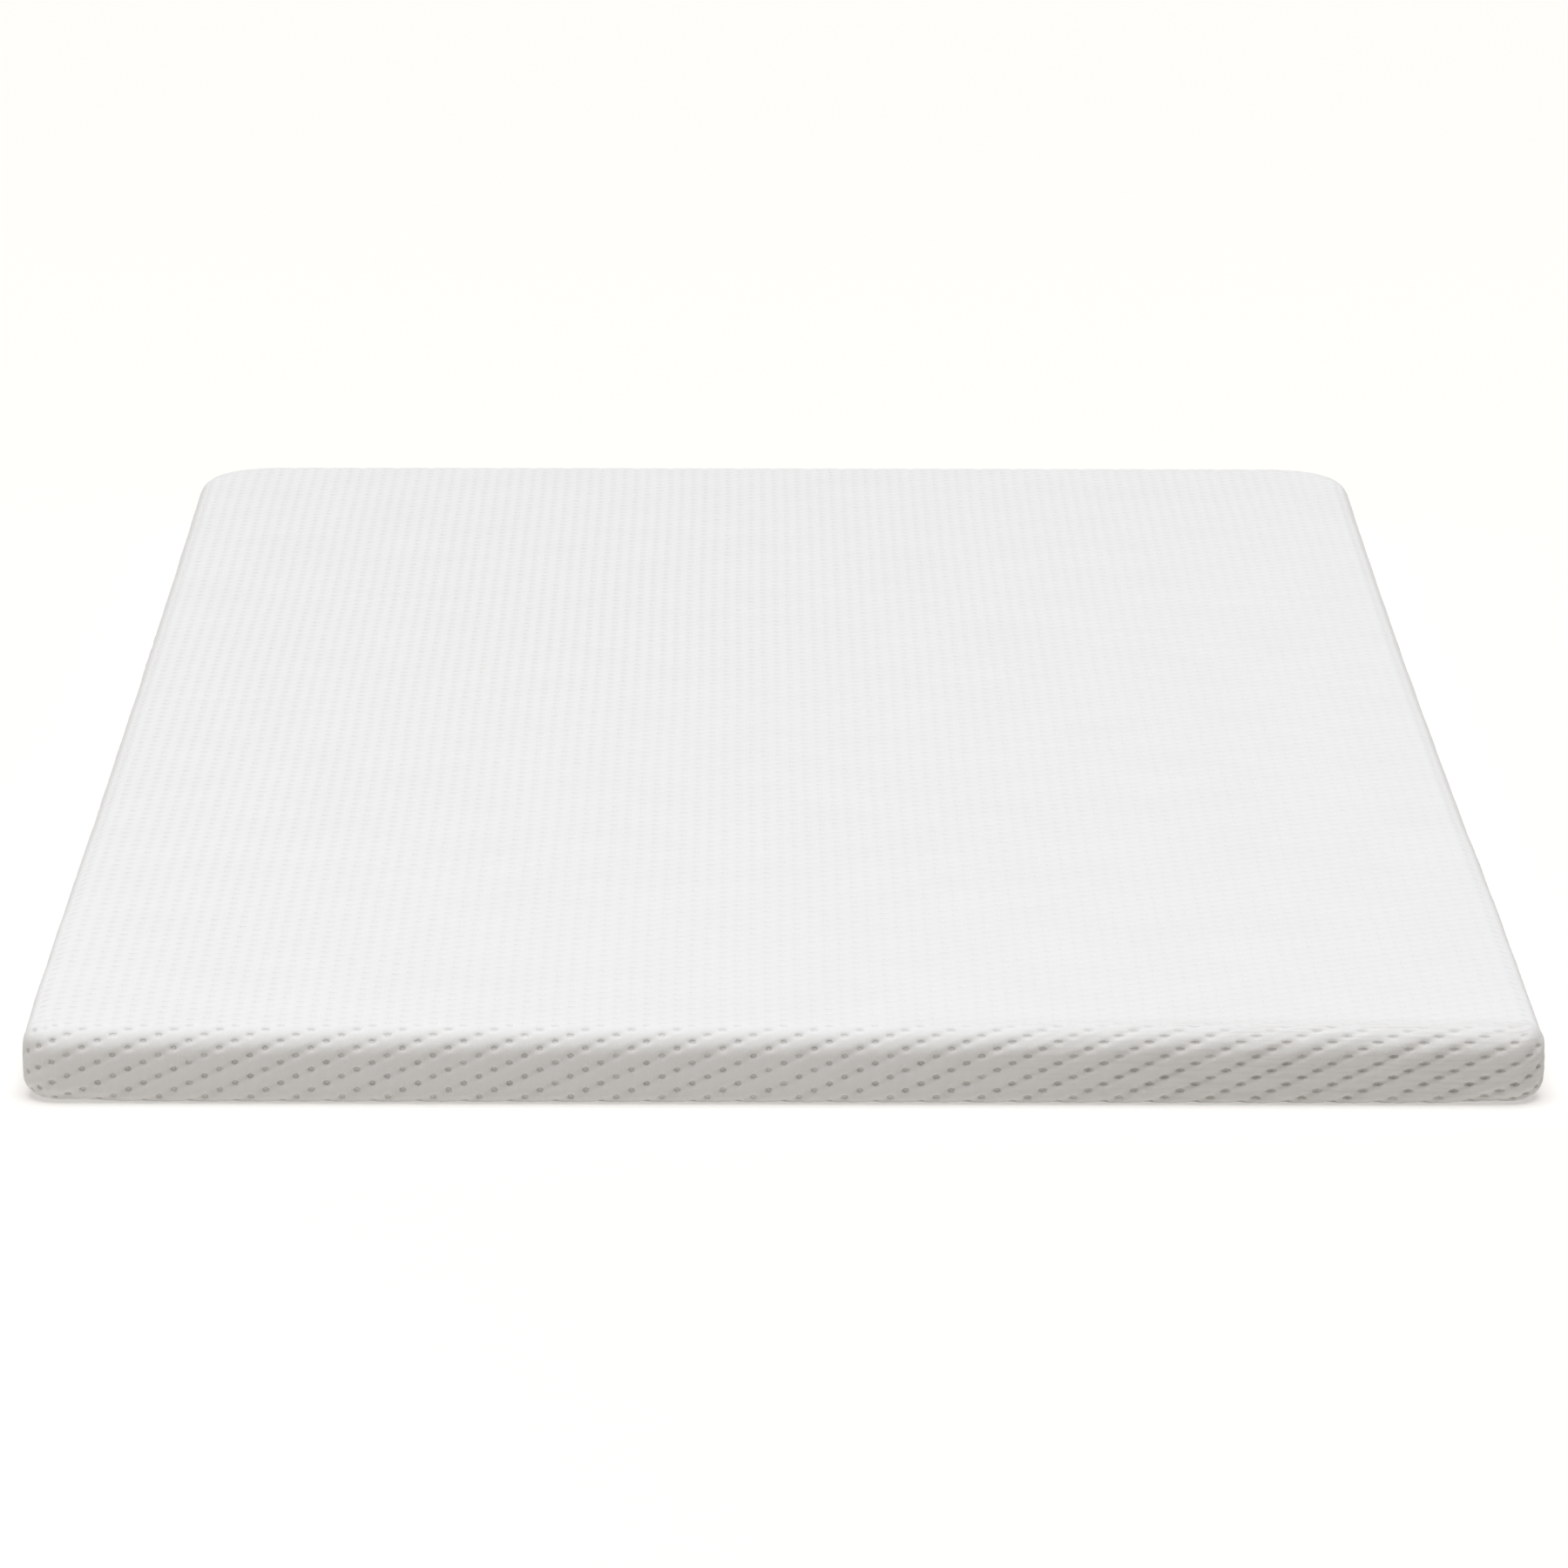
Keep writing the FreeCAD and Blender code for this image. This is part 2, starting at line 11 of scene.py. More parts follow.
import bpy
import numpy as np
from mathutils import Euler, Matrix, Vector


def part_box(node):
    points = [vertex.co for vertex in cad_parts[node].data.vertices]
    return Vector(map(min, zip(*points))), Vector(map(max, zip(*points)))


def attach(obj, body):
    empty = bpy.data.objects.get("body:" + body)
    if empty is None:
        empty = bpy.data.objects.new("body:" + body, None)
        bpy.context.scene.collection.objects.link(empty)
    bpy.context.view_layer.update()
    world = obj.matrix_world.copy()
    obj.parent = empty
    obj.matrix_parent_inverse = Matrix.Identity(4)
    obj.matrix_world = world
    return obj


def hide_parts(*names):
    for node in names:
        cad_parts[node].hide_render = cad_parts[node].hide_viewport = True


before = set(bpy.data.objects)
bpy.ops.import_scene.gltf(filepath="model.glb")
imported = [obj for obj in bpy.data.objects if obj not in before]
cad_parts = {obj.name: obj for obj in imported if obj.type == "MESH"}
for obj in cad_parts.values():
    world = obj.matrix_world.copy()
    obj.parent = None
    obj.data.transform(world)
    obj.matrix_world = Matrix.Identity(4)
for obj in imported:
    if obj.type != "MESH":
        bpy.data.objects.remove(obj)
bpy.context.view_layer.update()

MM = 0.001
TINY = 1e-9
cover_low, cover_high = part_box("cover_top")
HALF_WIDTH = cover_high.x
HALF_LENGTH = cover_high.y
HEIGHT = cover_high.z
print(f"cover {2 * HALF_WIDTH:.3f} x {2 * HALF_LENGTH:.3f} x {HEIGHT:.3f} m")

# %% [markdown]
# ## Camera
# A long lens from the foot end, a little above the bed, keeps the near edge wide and the far edge narrow.
# The place is given as a distance in front of the foot and a height over the floor, then the three turns.

# %% Camera
CAMERA_SIDE = -0.027
CAMERA_DISTANCE = 5.256
CAMERA_HEIGHT = 1.455
CAMERA_DOWN = 13.28
CAMERA_TURN = -0.29
CAMERA_ROLL = 0.16
LENS = 192.4
SENSOR_WIDTH = 36.0

camera = bpy.data.objects.new("camera", bpy.data.cameras.new("camera"))
bpy.context.scene.collection.objects.link(camera)
bpy.context.scene.camera = camera
camera.data.lens = LENS
camera.data.sensor_width = SENSOR_WIDTH
camera.location = (CAMERA_SIDE, -HALF_LENGTH - CAMERA_DISTANCE, CAMERA_HEIGHT)
turn = Euler((math.radians(90.0 - CAMERA_DOWN), 0.0, math.radians(CAMERA_TURN)), "XYZ").to_matrix()
roll = Matrix.Rotation(math.radians(CAMERA_ROLL), 3, "Z")
camera.rotation_euler = (turn @ roll).to_euler("XYZ")
print("camera at", [round(x, 3) for x in camera.location])

# %% [markdown]
# ## Mesh and node helpers
# A surface is a grid of points, rows by columns. The faces between them follow from the numbering alone, so
# no loop over points is needed. A material is built from small node steps, and each helper returns the
# socket it ends with.

# %% Mesh helpers
def grid_quads(rows, columns, ring=False):
    """Corners of every cell of a grid, where a point's number is row * columns + column.

    ring joins the last column to the first.
    """
    across = np.arange(columns if ring else columns - 1)
    row, column = np.meshgrid(np.arange(rows - 1), across, indexing="ij")
    after = (column + 1) % columns
    this_row, next_row = row * columns, (row + 1) * columns
    corners = (this_row + column, this_row + after, next_row + after, next_row + column)
    return np.stack(corners, axis=-1).reshape(-1, 4)


def new_piece(name, points, quads, cloth=None):
    """A smooth mesh object from points and quads. cloth is a UV coordinate in metres for each point."""
    points = np.asarray(points, float).reshape(-1, 3)
    mesh = bpy.data.meshes.new(name)
    mesh.vertices.add(len(points))
    mesh.vertices.foreach_set("co", points.ravel().astype(np.float32))
    mesh.loops.add(quads.size)
    mesh.loops.foreach_set("vertex_index", quads.ravel().astype(np.int32))
    mesh.polygons.add(len(quads))
    mesh.polygons.foreach_set("loop_start", np.arange(0, quads.size, 4, dtype=np.int32))
    mesh.polygons.foreach_set("loop_total", np.full(len(quads), 4, dtype=np.int32))
    mesh.polygons.foreach_set("use_smooth", np.ones(len(quads), dtype=bool))
    if cloth is not None:
        layer = mesh.uv_layers.new(name="cloth")
        layer.data.foreach_set("uv", cloth.reshape(-1, 2)[quads.ravel()].ravel().astype(np.float32))
    mesh.update(calc_edges=True)
    mesh.validate()
    piece = bpy.data.objects.new(name, mesh)
    bpy.context.scene.collection.objects.link(piece)
    print(f"{name}: {len(points)} points, {2 * len(quads)} triangles")
    return piece


def smooth_step(x, low, high):
    """0 below low, 1 above high, and 3t^2 - 2t^3 between."""
    t = np.clip((x - low) / (high - low), 0.0, 1.0)
    return t * t * (3.0 - 2.0 * t)


# %% Node helpers
def new_material(name, colour, roughness):
    """A material with its shader, and the shader's colour and roughness set."""
    material = bpy.data.materials.new(name)
    material.use_nodes = True
    shader = material.node_tree.nodes["Principled BSDF"]
    shader.inputs["Base Color"].default_value = (*colour, 1.0)
    shader.inputs["Roughness"].default_value = roughness
    return material, shader


def step(material, kind, *values, out=0, **settings):
    """One node: its settings by name, its inputs in order, each a number or a socket. Returns its output
    socket."""
    node = material.node_tree.nodes.new("ShaderNode" + kind)
    for key, value in settings.items():
        setattr(node, key, value)
    for socket, value in zip(node.inputs, values):
        if isinstance(value, bpy.types.NodeSocket):
            material.node_tree.links.new(value, socket)
        elif value is not None:
            socket.default_value = value
    return node.outputs[out]


def calc(material, operation, *values):
    """One Math node."""
    return step(material, "Math", *values, operation=operation)


def plus(material, one, other):
    """The sum of two values."""
    return calc(material, "ADD", one, other)


def less(material, one, other):
    """One value less the other."""
    return calc(material, "SUBTRACT", one, other)


def times(material, one, other):
    """The product of two values."""
    return calc(material, "MULTIPLY", one, other)


def spread(material, value, low, high, to_low, to_high):
    """Map Range: value between low and high becomes to_low to to_high, held at both ends."""
    return step(material, "MapRange", value, low, high, to_low, to_high)


def mixed(material, share, colour_a, colour_b):
    """Mix two colours by a share."""
    node = material.node_tree.nodes.new("ShaderNodeMix")
    node.data_type = "RGBA"
    for socket, value in zip((node.inputs[0], node.inputs[6], node.inputs[7]), (share, colour_a, colour_b)):
        if isinstance(value, bpy.types.NodeSocket):
            material.node_tree.links.new(value, socket)
        else:
            socket.default_value = value if socket.name == "Factor" else (*value, 1.0)
    return node.outputs[2]


def bump(material, shader, height, depth, strength=1.0):
    """Feed a height, 0 to 1, into the shader's normal as a relief of that depth in metres."""
    relief = material.node_tree.nodes.new("ShaderNodeBump")
    relief.inputs["Strength"].default_value = strength
    relief.inputs["Distance"].default_value = depth
    material.node_tree.links.new(height, relief.inputs["Height"])
    material.node_tree.links.new(relief.outputs[0], shader.inputs["Normal"])


def paint(material, shader, colour):
    """Feed a colour socket into the shader."""
    material.node_tree.links.new(colour, shader.inputs["Base Color"])


def gloss(material, shader, value, at_low, at_high, low=0.3, high=0.7):
    """Feed a roughness into the shader: at_low where a value is low, and at_high where it is high."""
    roughness = spread(material, value, low, high, at_low, at_high)
    material.node_tree.links.new(roughness, shader.inputs["Roughness"])


def stripes(material, place, spacing, wobble, detail=1.0, detail_scale=1.0, direction="X"):
    """Soft bands, one every spacing metres. Blender's wave turns 20 times its scale for each metre."""
    scale = 2 * math.pi / (20 * spacing)
    return step(material, "TexWave", place, scale, wobble, detail, detail_scale,
                wave_type="BANDS", bands_direction=direction, out=1)


def fine_attribute(material, name):
    """The number that each point of the mesh carries under a name."""
    return step(material, "Attribute", out=2, attribute_name=name)


def dress(piece, node, material):
    """What every piece that lies still is told: its material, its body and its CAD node."""
    piece.data.materials.append(material)
    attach(piece, "root")
    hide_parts(node)


# %% [markdown]
# ## Floor and light
# A pale floor runs on to the horizon. It gives off some light of its own, so the shadow at the bed's foot
# is faint. One wide soft light hangs over the bed, so the top is even and bright and the walls stand in
# soft shade. A weak light at the foot's left and one on each side lift the walls, and a dim, slightly warm
# sky fills the rest.

# %% Floor and light
FLOOR_SIZE = 60.0
FLOOR_COLOUR = (0.502, 0.490, 0.476)
FLOOR_GLOW = (1.0, 0.985, 0.955, 1.0)
GLOW_STRENGTH = 0.42
KEY_POWER = 3.54
KEY_WIDTH = math.radians(50.0)
FOOT_POWER = 7.0
FOOT_SIZE = 1.4
SIDE_POWER = 5.0
SIDE_SIZE = 1.6
SKY_COLOUR = (1.0, 0.965, 0.93, 1.0)
SKY_STRENGTH = 0.045

floor_mesh = bpy.data.meshes.new("floor")
floor_corner = FLOOR_SIZE / 2
floor_points = [(x * floor_corner, y * floor_corner, 0.0) for x, y in ((-1, -1), (1, -1), (1, 1), (-1, 1))]
floor_mesh.from_pydata(floor_points, [], [(0, 1, 2, 3)])
floor = bpy.data.objects.new("floor", floor_mesh)
bpy.context.scene.collection.objects.link(floor)
floor_paint, floor_shader = new_material("floor_paint", FLOOR_COLOUR, 0.9)
floor_shader.inputs["Specular IOR Level"].default_value = 0.0
floor_shader.inputs["Emission Color"].default_value = FLOOR_GLOW
floor_shader.inputs["Emission Strength"].default_value = GLOW_STRENGTH
floor_mesh.materials.append(floor_paint)


def soft_light(name, kind, place, aim, power, colour):
    """A light of a kind at a place, turned to face a point."""
    light = bpy.data.lights.new(name, kind)
    light.energy = power
    light.color = colour
    lamp = bpy.data.objects.new(name, light)
    lamp.location = place
    lamp.rotation_euler = (Vector(aim) - Vector(place)).to_track_quat("-Z", "Y").to_euler()
    bpy.context.scene.collection.objects.link(lamp)
    return light


key_light = soft_light("key_light", "SUN", (0.05, 0.0, 5.0), (0.0, 0.0, 0.0), KEY_POWER, (0.99, 0.993, 1.0))
key_light.angle = KEY_WIDTH
foot_place, foot_aim = (-1.7, -2.6, 1.8), (-0.5, -0.95, 0.0)
foot_light = soft_light("foot_light", "AREA", foot_place, foot_aim, FOOT_POWER, (1.0, 0.99, 0.975))
foot_light.size = FOOT_SIZE
for side in (-1.0, 1.0):
    side_place, side_aim = (side * 3.0, 0.2, 0.7), (side * 0.5, 0.0, 0.03)
    side_light = soft_light("side_light", "AREA", side_place, side_aim, SIDE_POWER, (1.0, 0.995, 0.985))
    side_light.size = SIDE_SIZE
sky = bpy.data.worlds.new("sky")
bpy.context.scene.world = sky
sky.use_nodes = True
sky_light = sky.node_tree.nodes["Background"]
sky_light.inputs["Color"].default_value = SKY_COLOUR
sky_light.inputs["Strength"].default_value = SKY_STRENGTH
bpy.context.scene.view_settings.view_transform = "Standard"

# %% [markdown]
# ## One form for every padded layer
# The cover, the sock and the foams are all rounded slabs, so one function makes them all. Think of a flat
# sheet with a grid on it. Its middle stays flat. Beyond that it follows one profile: over the rounded top
# edge, down the wall and round the bottom edge. On the straight sides the profile is all there is. At a
# corner the sheet's square corner becomes a quarter disc, ring by ring, so the grid closes round the corner
# with no cut.

# %% The slab's profile
def slab_form(low, high, top_edge, bottom_edge, front_corner, rear_corner):
    """Sizes of a rounded slab that fills a box, and the lengths of its profile's arc, wall and arc."""
    form = {"half_width": (high.x - low.x) / 2, "half_length": (high.y - low.y) / 2}
    form["top"], form["floor"] = high.z, low.z
    form["top_edge"], form["bottom_edge"] = top_edge, bottom_edge
    form["corners"] = (front_corner, rear_corner)
    form["top_arc"] = top_edge * math.pi / 2
    form["wall"] = high.z - low.z - top_edge - bottom_edge
    form["wrap"] = form["top_arc"] + form["wall"] + bottom_edge * math.pi / 2
    return form


def slab_profile(form, way):
    """How far in from the outline, how high, and how steep the slab is at a way from its flat top.

    A quarter circle of top_edge, a straight wall, then a quarter circle of bottom_edge. The lean is the
    angle between the surface and the level: 0 on the top, a right angle on the wall.
    """
    over = np.clip(way, 0.0, form["top_arc"]) / form["top_edge"]
    down = np.clip(way - form["top_arc"], 0.0, form["wall"])
    under = np.clip(way - form["top_arc"] - form["wall"], 0.0, None) / max(form["bottom_edge"], TINY)
    under = np.clip(under, 0.0, math.pi / 2)
    inset = form["top_edge"] * (1.0 - np.sin(over)) + form["bottom_edge"] * (1.0 - np.cos(under))
    drop = form["top_edge"] * (1.0 - np.cos(over)) + down + form["bottom_edge"] * np.sin(under)
    height = form["top"] - drop
    return inset, height, over + under


def drape(form, across, along):
    """Where a sheet's points lie on the slab, which way each faces, and its way, turn and plan facts.

    Beyond a corner's centre the larger of the two distances is the way out, and the smaller over the
    larger gives the turn, from 0 on the side to a right angle on the end. The radius there is the
    corner's, less the inset.
    """
    corner = np.where(along > 0, form["corners"][1], form["corners"][0])
    straight_x, straight_y = form["half_width"] - corner, form["half_length"] - corner
    out_x = np.clip(np.abs(across) - straight_x, 0.0, None)
    out_y = np.clip(np.abs(along) - straight_y, 0.0, None)
    way_out = np.maximum(out_x, out_y)
    eighth = np.minimum(out_x, out_y) / np.maximum(way_out, TINY) * math.pi / 4
    turn = np.where(out_x >= out_y, eighth, math.pi / 2 - eighth)
    way = way_out - (corner - form["top_edge"])
    inset, height, lean = slab_profile(form, way)
    radius = np.where(way > 0, corner - inset, way_out)
    x = np.sign(across) * (np.minimum(np.abs(across), straight_x) + radius * np.cos(turn) * (out_x > 0))
    y = np.sign(along) * (np.minimum(np.abs(along), straight_y) + radius * np.sin(turn) * (out_y > 0))
    steep = np.sin(lean)
    face_x = np.sign(across) * np.cos(turn) * steep
    face_y = np.sign(along) * np.sin(turn) * steep
    facts = {"way": way, "way_out": way_out, "turn": turn, "radius": corner}
    facts["corner"] = (out_x > 0) & (out_y > 0)
    facing = np.stack([face_x, face_y, np.cos(lean)], axis=-1)
    return np.stack([x, y, height], axis=-1), facing, facts


# %% [markdown]
# ## The cover's sizes
# The sizes are the cover's own. The top edge is rounder than the bottom one, and the rear corners are
# rounder than the front ones. The cap goes on under the bed to the seam with the base cloth.

# %% Cover sizes
CLOTH = 2.4 * MM
SEAM_INSET = 20.0 * MM
SEAM_CORNER = 45.0 * MM
SEAM_LIFT = 0.9 * MM
TOP_EDGE = 18.0 * MM
BOTTOM_EDGE = 14.0 * MM
FRONT_CORNER = 24.0 * MM
REAR_CORNER = 66.0 * MM
cover_form = slab_form(cover_low, cover_high, TOP_EDGE, BOTTOM_EDGE, FRONT_CORNER, REAR_CORNER)
UNDER = SEAM_INSET - cover_form["bottom_edge"]
FLAT_HALF_WIDTH = HALF_WIDTH - cover_form["top_edge"]
FLAT_HALF_LENGTH = HALF_LENGTH - cover_form["top_edge"]
REACH = cover_form["wrap"] + UNDER
print(f"the sheet wraps {1000 * REACH:.1f} mm beyond the flat top")


# %% The run under the bed
def ring_point(x, y, inset, corner):
    """Nearest point of a rounded rectangle, inset inside the cover's outline, to points outside it."""
    centre_x, centre_y = HALF_WIDTH - inset - corner, HALF_LENGTH - inset - corner
    away_x = np.clip(np.abs(x) - centre_x, 0.0, None)
    away_y = np.clip(np.abs(y) - centre_y, 0.0, None)
    away = np.maximum(np.hypot(away_x, away_y), TINY)
    ring_x = np.where(away_x > 0, centre_x + corner * away_x / away, np.abs(x))
    ring_y = np.where(away_y > 0, centre_y + corner * away_y / away, np.abs(y))
    return np.sign(x) * ring_x, np.sign(y) * ring_y


def run_under(points, way):
    """Carries points beyond the bottom edge straight to the base seam, which is a little off the floor."""
    share = np.clip((way - cover_form["wrap"]) / UNDER, 0.0, 1.0)
    seam_x, seam_y = ring_point(points[..., 0], points[..., 1], SEAM_INSET, SEAM_CORNER)
    goal = np.stack([seam_x, seam_y, np.full_like(seam_x, SEAM_LIFT)], axis=-1)
    return points + (goal - points) * share[..., None]


# %% [markdown]
# ## The knit's pattern
# The knit is pulled down at small eyelets. They stand in columns, and each column is shifted by a third of
# the eyelets' spacing, so shallow slanting furrows link them and the cloth puffs up between. The relief is
# real geometry: the grid is fine enough that every eyelet has a point at its centre, so all of them come
# out alike.

# %% Pattern sizes
COLUMNS_ACROSS = 100
EYELETS_ALONG = 138
COLUMN = 2 * HALF_WIDTH / COLUMNS_ACROSS
PITCH = 2 * HALF_LENGTH / EYELETS_ALONG
EYELET_WIDTH = 2.5 * MM
EYELET_HEIGHT = 1.9 * MM
EYELET_DEPTH = 1.10 * MM
FURROW_DEPTH = 0.30 * MM
FURROW_PULLED = 1.8
GUTTER_DEPTH = 0.26 * MM
print(f"eyelets every {1000 * COLUMN:.1f} mm across and {1000 * PITCH:.1f} mm along")


# %% Pattern functions
def knit_relief(across, along, pulled):
    """Depth of the knit, at most 0, at a place on the cloth.

    The nearest column is the rounded place over COLUMN, and the nearest eyelet on it is the rounded rest
    over PITCH, after a third of a pitch for each column. Each eyelet is a bell-shaped pit. The furrows
    are a cosine across the slanting rows, raised to a power so that they are narrower than the puffs
    between them. They are deeper where the knit is pulled round the edge.
    """
    column = across / COLUMN
    nearest = np.round(column)
    place = along / PITCH - nearest / 3.0
    off_x = (column - nearest) * COLUMN / EYELET_WIDTH
    off_y = (place - np.round(place)) * PITCH / EYELET_HEIGHT
    pit = np.exp(-(off_x ** 2 + off_y ** 2))
    furrow = (0.5 + 0.5 * np.cos(2 * math.pi * (along / PITCH - column / 3.0))) ** 3
    gutter = (0.5 + 0.5 * np.cos(2 * math.pi * column)) ** 2
    furrow_depth = FURROW_DEPTH * (1.0 + FURROW_PULLED * pulled)
    return -(EYELET_DEPTH * pit + furrow_depth * furrow + GUTTER_DEPTH * gutter)


def slack(across, along, seed, size, count=9, heading=None, lean=math.pi):
    """Gentle waves from -1 to 1: a sum of sines with seeded directions and lengths around size."""
    chance = np.random.default_rng(seed)
    total = np.zeros_like(across)
    for _ in range(count):
        way = (heading or 0.0) + chance.uniform(-lean, lean)
        number = 2 * math.pi / (size * chance.uniform(0.6, 1.7))
        shift = chance.uniform(0.0, 2 * math.pi)
        total += np.sin(number * (across * math.cos(way) + along * math.sin(way)) + shift)
    return total / count


# %% [markdown]
# ## The cap's grid
# The cap is the top and all the walls in one piece. Its grid runs on to the base seam. The rows stand
# closer together down the foot end, which is seen from near, and one row and two columns lie exactly on the
# edge of the zip's slot.

# %% Cap grid
strip_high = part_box("rear_lower_strip")[1]
ZIP_HALF = strip_high.x
ZIP_HEIGHT = (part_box("zip_coil_upper")[0].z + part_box("zip_coil_lower")[1].z) / 2
SLOT_HALF = ZIP_HEIGHT - strip_high.z
SLOT_TOP = ZIP_HEIGHT + SLOT_HALF
SLOT_LINE = FLAT_HALF_LENGTH + cover_form["top_arc"] + (HEIGHT - cover_form["top_edge"]) - SLOT_TOP
STRIP_LINE = SLOT_LINE + 2 * SLOT_HALF


def even_lines(start, end, step):
    """Grid lines at whole multiples of a step between start and end, with start and end themselves."""
    inside = np.arange(math.ceil(start / step + 0.3), math.floor(end / step - 0.3) + 1) * step
    return np.concatenate([[start], inside, [end]])


across_lines = even_lines(-FLAT_HALF_WIDTH - REACH, FLAT_HALF_WIDTH + REACH, COLUMN / 5)
for edge in (-ZIP_HALF, ZIP_HALF):
    across_lines[np.abs(across_lines - edge).argmin()] = edge
front_lines = even_lines(-FLAT_HALF_LENGTH - REACH, -FLAT_HALF_LENGTH, PITCH / 12)
other_lines = even_lines(-FLAT_HALF_LENGTH, FLAT_HALF_LENGTH + REACH, PITCH / 6)
along_lines = np.concatenate([front_lines[:-1], other_lines])
along_lines[np.abs(along_lines - SLOT_LINE).argmin()] = SLOT_LINE
along, across = np.meshgrid(along_lines, across_lines, indexing="ij")
print(f"cap grid {across.shape}, slot from z {SLOT_TOP - 2 * SLOT_HALF:.4f} to {SLOT_TOP:.4f}")


# %% [markdown]
# ## Where the pattern goes at a corner
# Round a corner a flat pattern cannot stay true everywhere. Here the pattern of the end wall goes on round
# the corner's arc, and meets the side wall's pattern at the end of the arc. Where the two differ, the
# eyelets fade out, as they do on a knit that is stretched over a corner.

# %% Cloth coordinates
CORNER_JOIN = 0.13
JOIN_BLEND = 0.03
JOIN_BARE = 2.4 * MM
JOIN_FADE = 4.6 * MM


def cloth_place(form, across, along, points, facts):
    """Where the pattern's coordinates are, and how much of the pattern shows.

    On the arc of a corner the end's coordinates are the corner's centre plus the arc's length, and the
    way out. The side's are the way out, and the corner's centre plus the arc's length. They change over
    in a narrow join near the arc's end on the side, where the eyelets fade out within a few millimetres.
    Both are blended into the plain plan coordinates where the top is flat.
    """
    centre_x = form["half_width"] - facts["radius"]
    centre_y = form["half_length"] - facts["radius"]
    plan_x, plan_y = np.abs(points[..., 0]), np.abs(points[..., 1])
    quarter = math.pi / 2
    end_x = centre_x + facts["radius"] * (quarter - facts["turn"])
    end_y = centre_y + facts["way_out"]
    side_x = centre_x + facts["way_out"]
    side_y = centre_y + facts["radius"] * facts["turn"]
    to_side = 1.0 - smooth_step(facts["turn"], CORNER_JOIN - JOIN_BLEND, CORNER_JOIN + JOIN_BLEND)
    off_top = smooth_step(facts["way"], -4.0 * MM, 0.55 * form["top_arc"])
    place_x = end_x + (side_x - end_x) * to_side
    place_y = end_y + (side_y - end_y) * to_side
    place_x = plan_x + (place_x - plan_x) * off_top
    place_y = plan_y + (place_y - plan_y) * off_top
    from_join = np.abs(facts["turn"] - CORNER_JOIN) * facts["radius"] + np.maximum(centre_y - plan_y, 0.0)
    torn = (1.0 - smooth_step(from_join, JOIN_BARE, JOIN_FADE)) * off_top
    pulled = 4.0 * off_top * (1.0 - off_top) * smooth_step(quarter - facts["turn"], 0.25, 0.9)
    shows = 1.0 - np.clip(1.4 * np.maximum(torn, pulled), 0.0, 1.0)
    at_corner = facts["corner"]
    place_x = np.where(at_corner, np.sign(across) * place_x, across)
    place_y = np.where(at_corner, np.sign(along) * place_y, along)
    return place_x, place_y, np.where(at_corner, shows, 1.0)


# %% [markdown]
# ## How the cover hangs
# A loose cover is never quite even. Its columns wander a little, its sides draw in between the corners, the
# middle is a little crowned, and at the foot end the knit is dragged into slanting creases on one side.

# %% Slack by cloth simulation
SIM_STEP = 8
SIM_PRESSURE = 4.0
SIM_LIMIT = 1.8 * MM
SIM_SHRINK = -0.004
SIM_FRAMES = 20


def cloth_settings(cloth):
    """A light knit: little weight, easy to bend, blown up gently from inside, without gravity."""
    knit_values = {"quality": 6, "mass": 0.25, "tension_stiffness": 12.0, "compression_stiffness": 6.0,
                   "shear_stiffness": 4.0, "bending_stiffness": 2.5, "use_pressure": True,
                   "uniform_pressure_force": SIM_PRESSURE, "shrink_min": SIM_SHRINK,
                   "vertex_group_mass": "held", "pin_stiffness": 0.6}
    for key, value in knit_values.items():
        setattr(cloth.settings, key, value)
    cloth.settings.effector_weights.gravity = 0.0
    cloth.collision_settings.use_collision = False


def simulated_slack(rows, columns):
    """How a coarse copy of the cap moves when it is blown up a little: an offset for each coarse point.

    The copy is held fast at the base seam and softly elsewhere, as foam holds a cover. Its cloth is cut
    0.4 percent too large, so it puckers. Each point's move is cut down to SIM_LIMIT, and the mesh is
    removed again.
    """
    coarse_along, coarse_across = np.meshgrid(along_lines[rows], across_lines[columns], indexing="ij")
    rest, _, facts = drape(cover_form, coarse_across, coarse_along)
    rest = run_under(rest, facts["way"]).reshape(-1, 3)
    trial = new_piece("slack_trial", rest, grid_quads(len(rows), len(columns)))
    held = trial.vertex_groups.new(name="held")
    chance = np.random.default_rng(51)
    hold = 0.55 + 0.20 * slack(coarse_across, coarse_along, 52, 0.25)
    hold = hold + chance.uniform(-0.03, 0.03, coarse_across.shape)
    hold = np.where(facts["way"] > cover_form["wrap"] - 2 * MM, 1.0, hold).ravel().round(2)
    for level in np.unique(hold):
        held.add(np.flatnonzero(hold == level).tolist(), float(np.clip(level, 0.0, 1.0)), "REPLACE")
    cloth = trial.modifiers.new("knit", "CLOTH")
    cloth_settings(cloth)
    for frame_number in range(1, SIM_FRAMES + 1):
        bpy.context.scene.frame_set(frame_number)
    solved = trial.evaluated_get(bpy.context.evaluated_depsgraph_get()).to_mesh()
    moved = np.empty(len(solved.vertices) * 3, np.float32)
    solved.vertices.foreach_get("co", moved)
    offset = moved.reshape(-1, 3).astype(float) - rest
    length = np.linalg.norm(offset, axis=1, keepdims=True)
    bpy.context.scene.frame_set(1)
    bpy.data.objects.remove(trial)
    print(f"simulated slack: mean {1000 * length.mean():.2f} mm, most {1000 * length.max():.2f} mm")
    offset *= np.tanh(length / SIM_LIMIT) * SIM_LIMIT / np.maximum(length, TINY)
    return offset.reshape(len(rows), len(columns), 3)


def share_between(fine_count, coarse):
    """For each fine line, the coarse line before it and a smooth share of the way to the next."""
    fine = np.arange(fine_count)
    before = np.clip(np.searchsorted(coarse, fine, side="right") - 1, 0, len(coarse) - 2)
    share = (fine - coarse[before]) / (coarse[before + 1] - coarse[before])
    return before, share ** 2 * (3 - 2 * share)


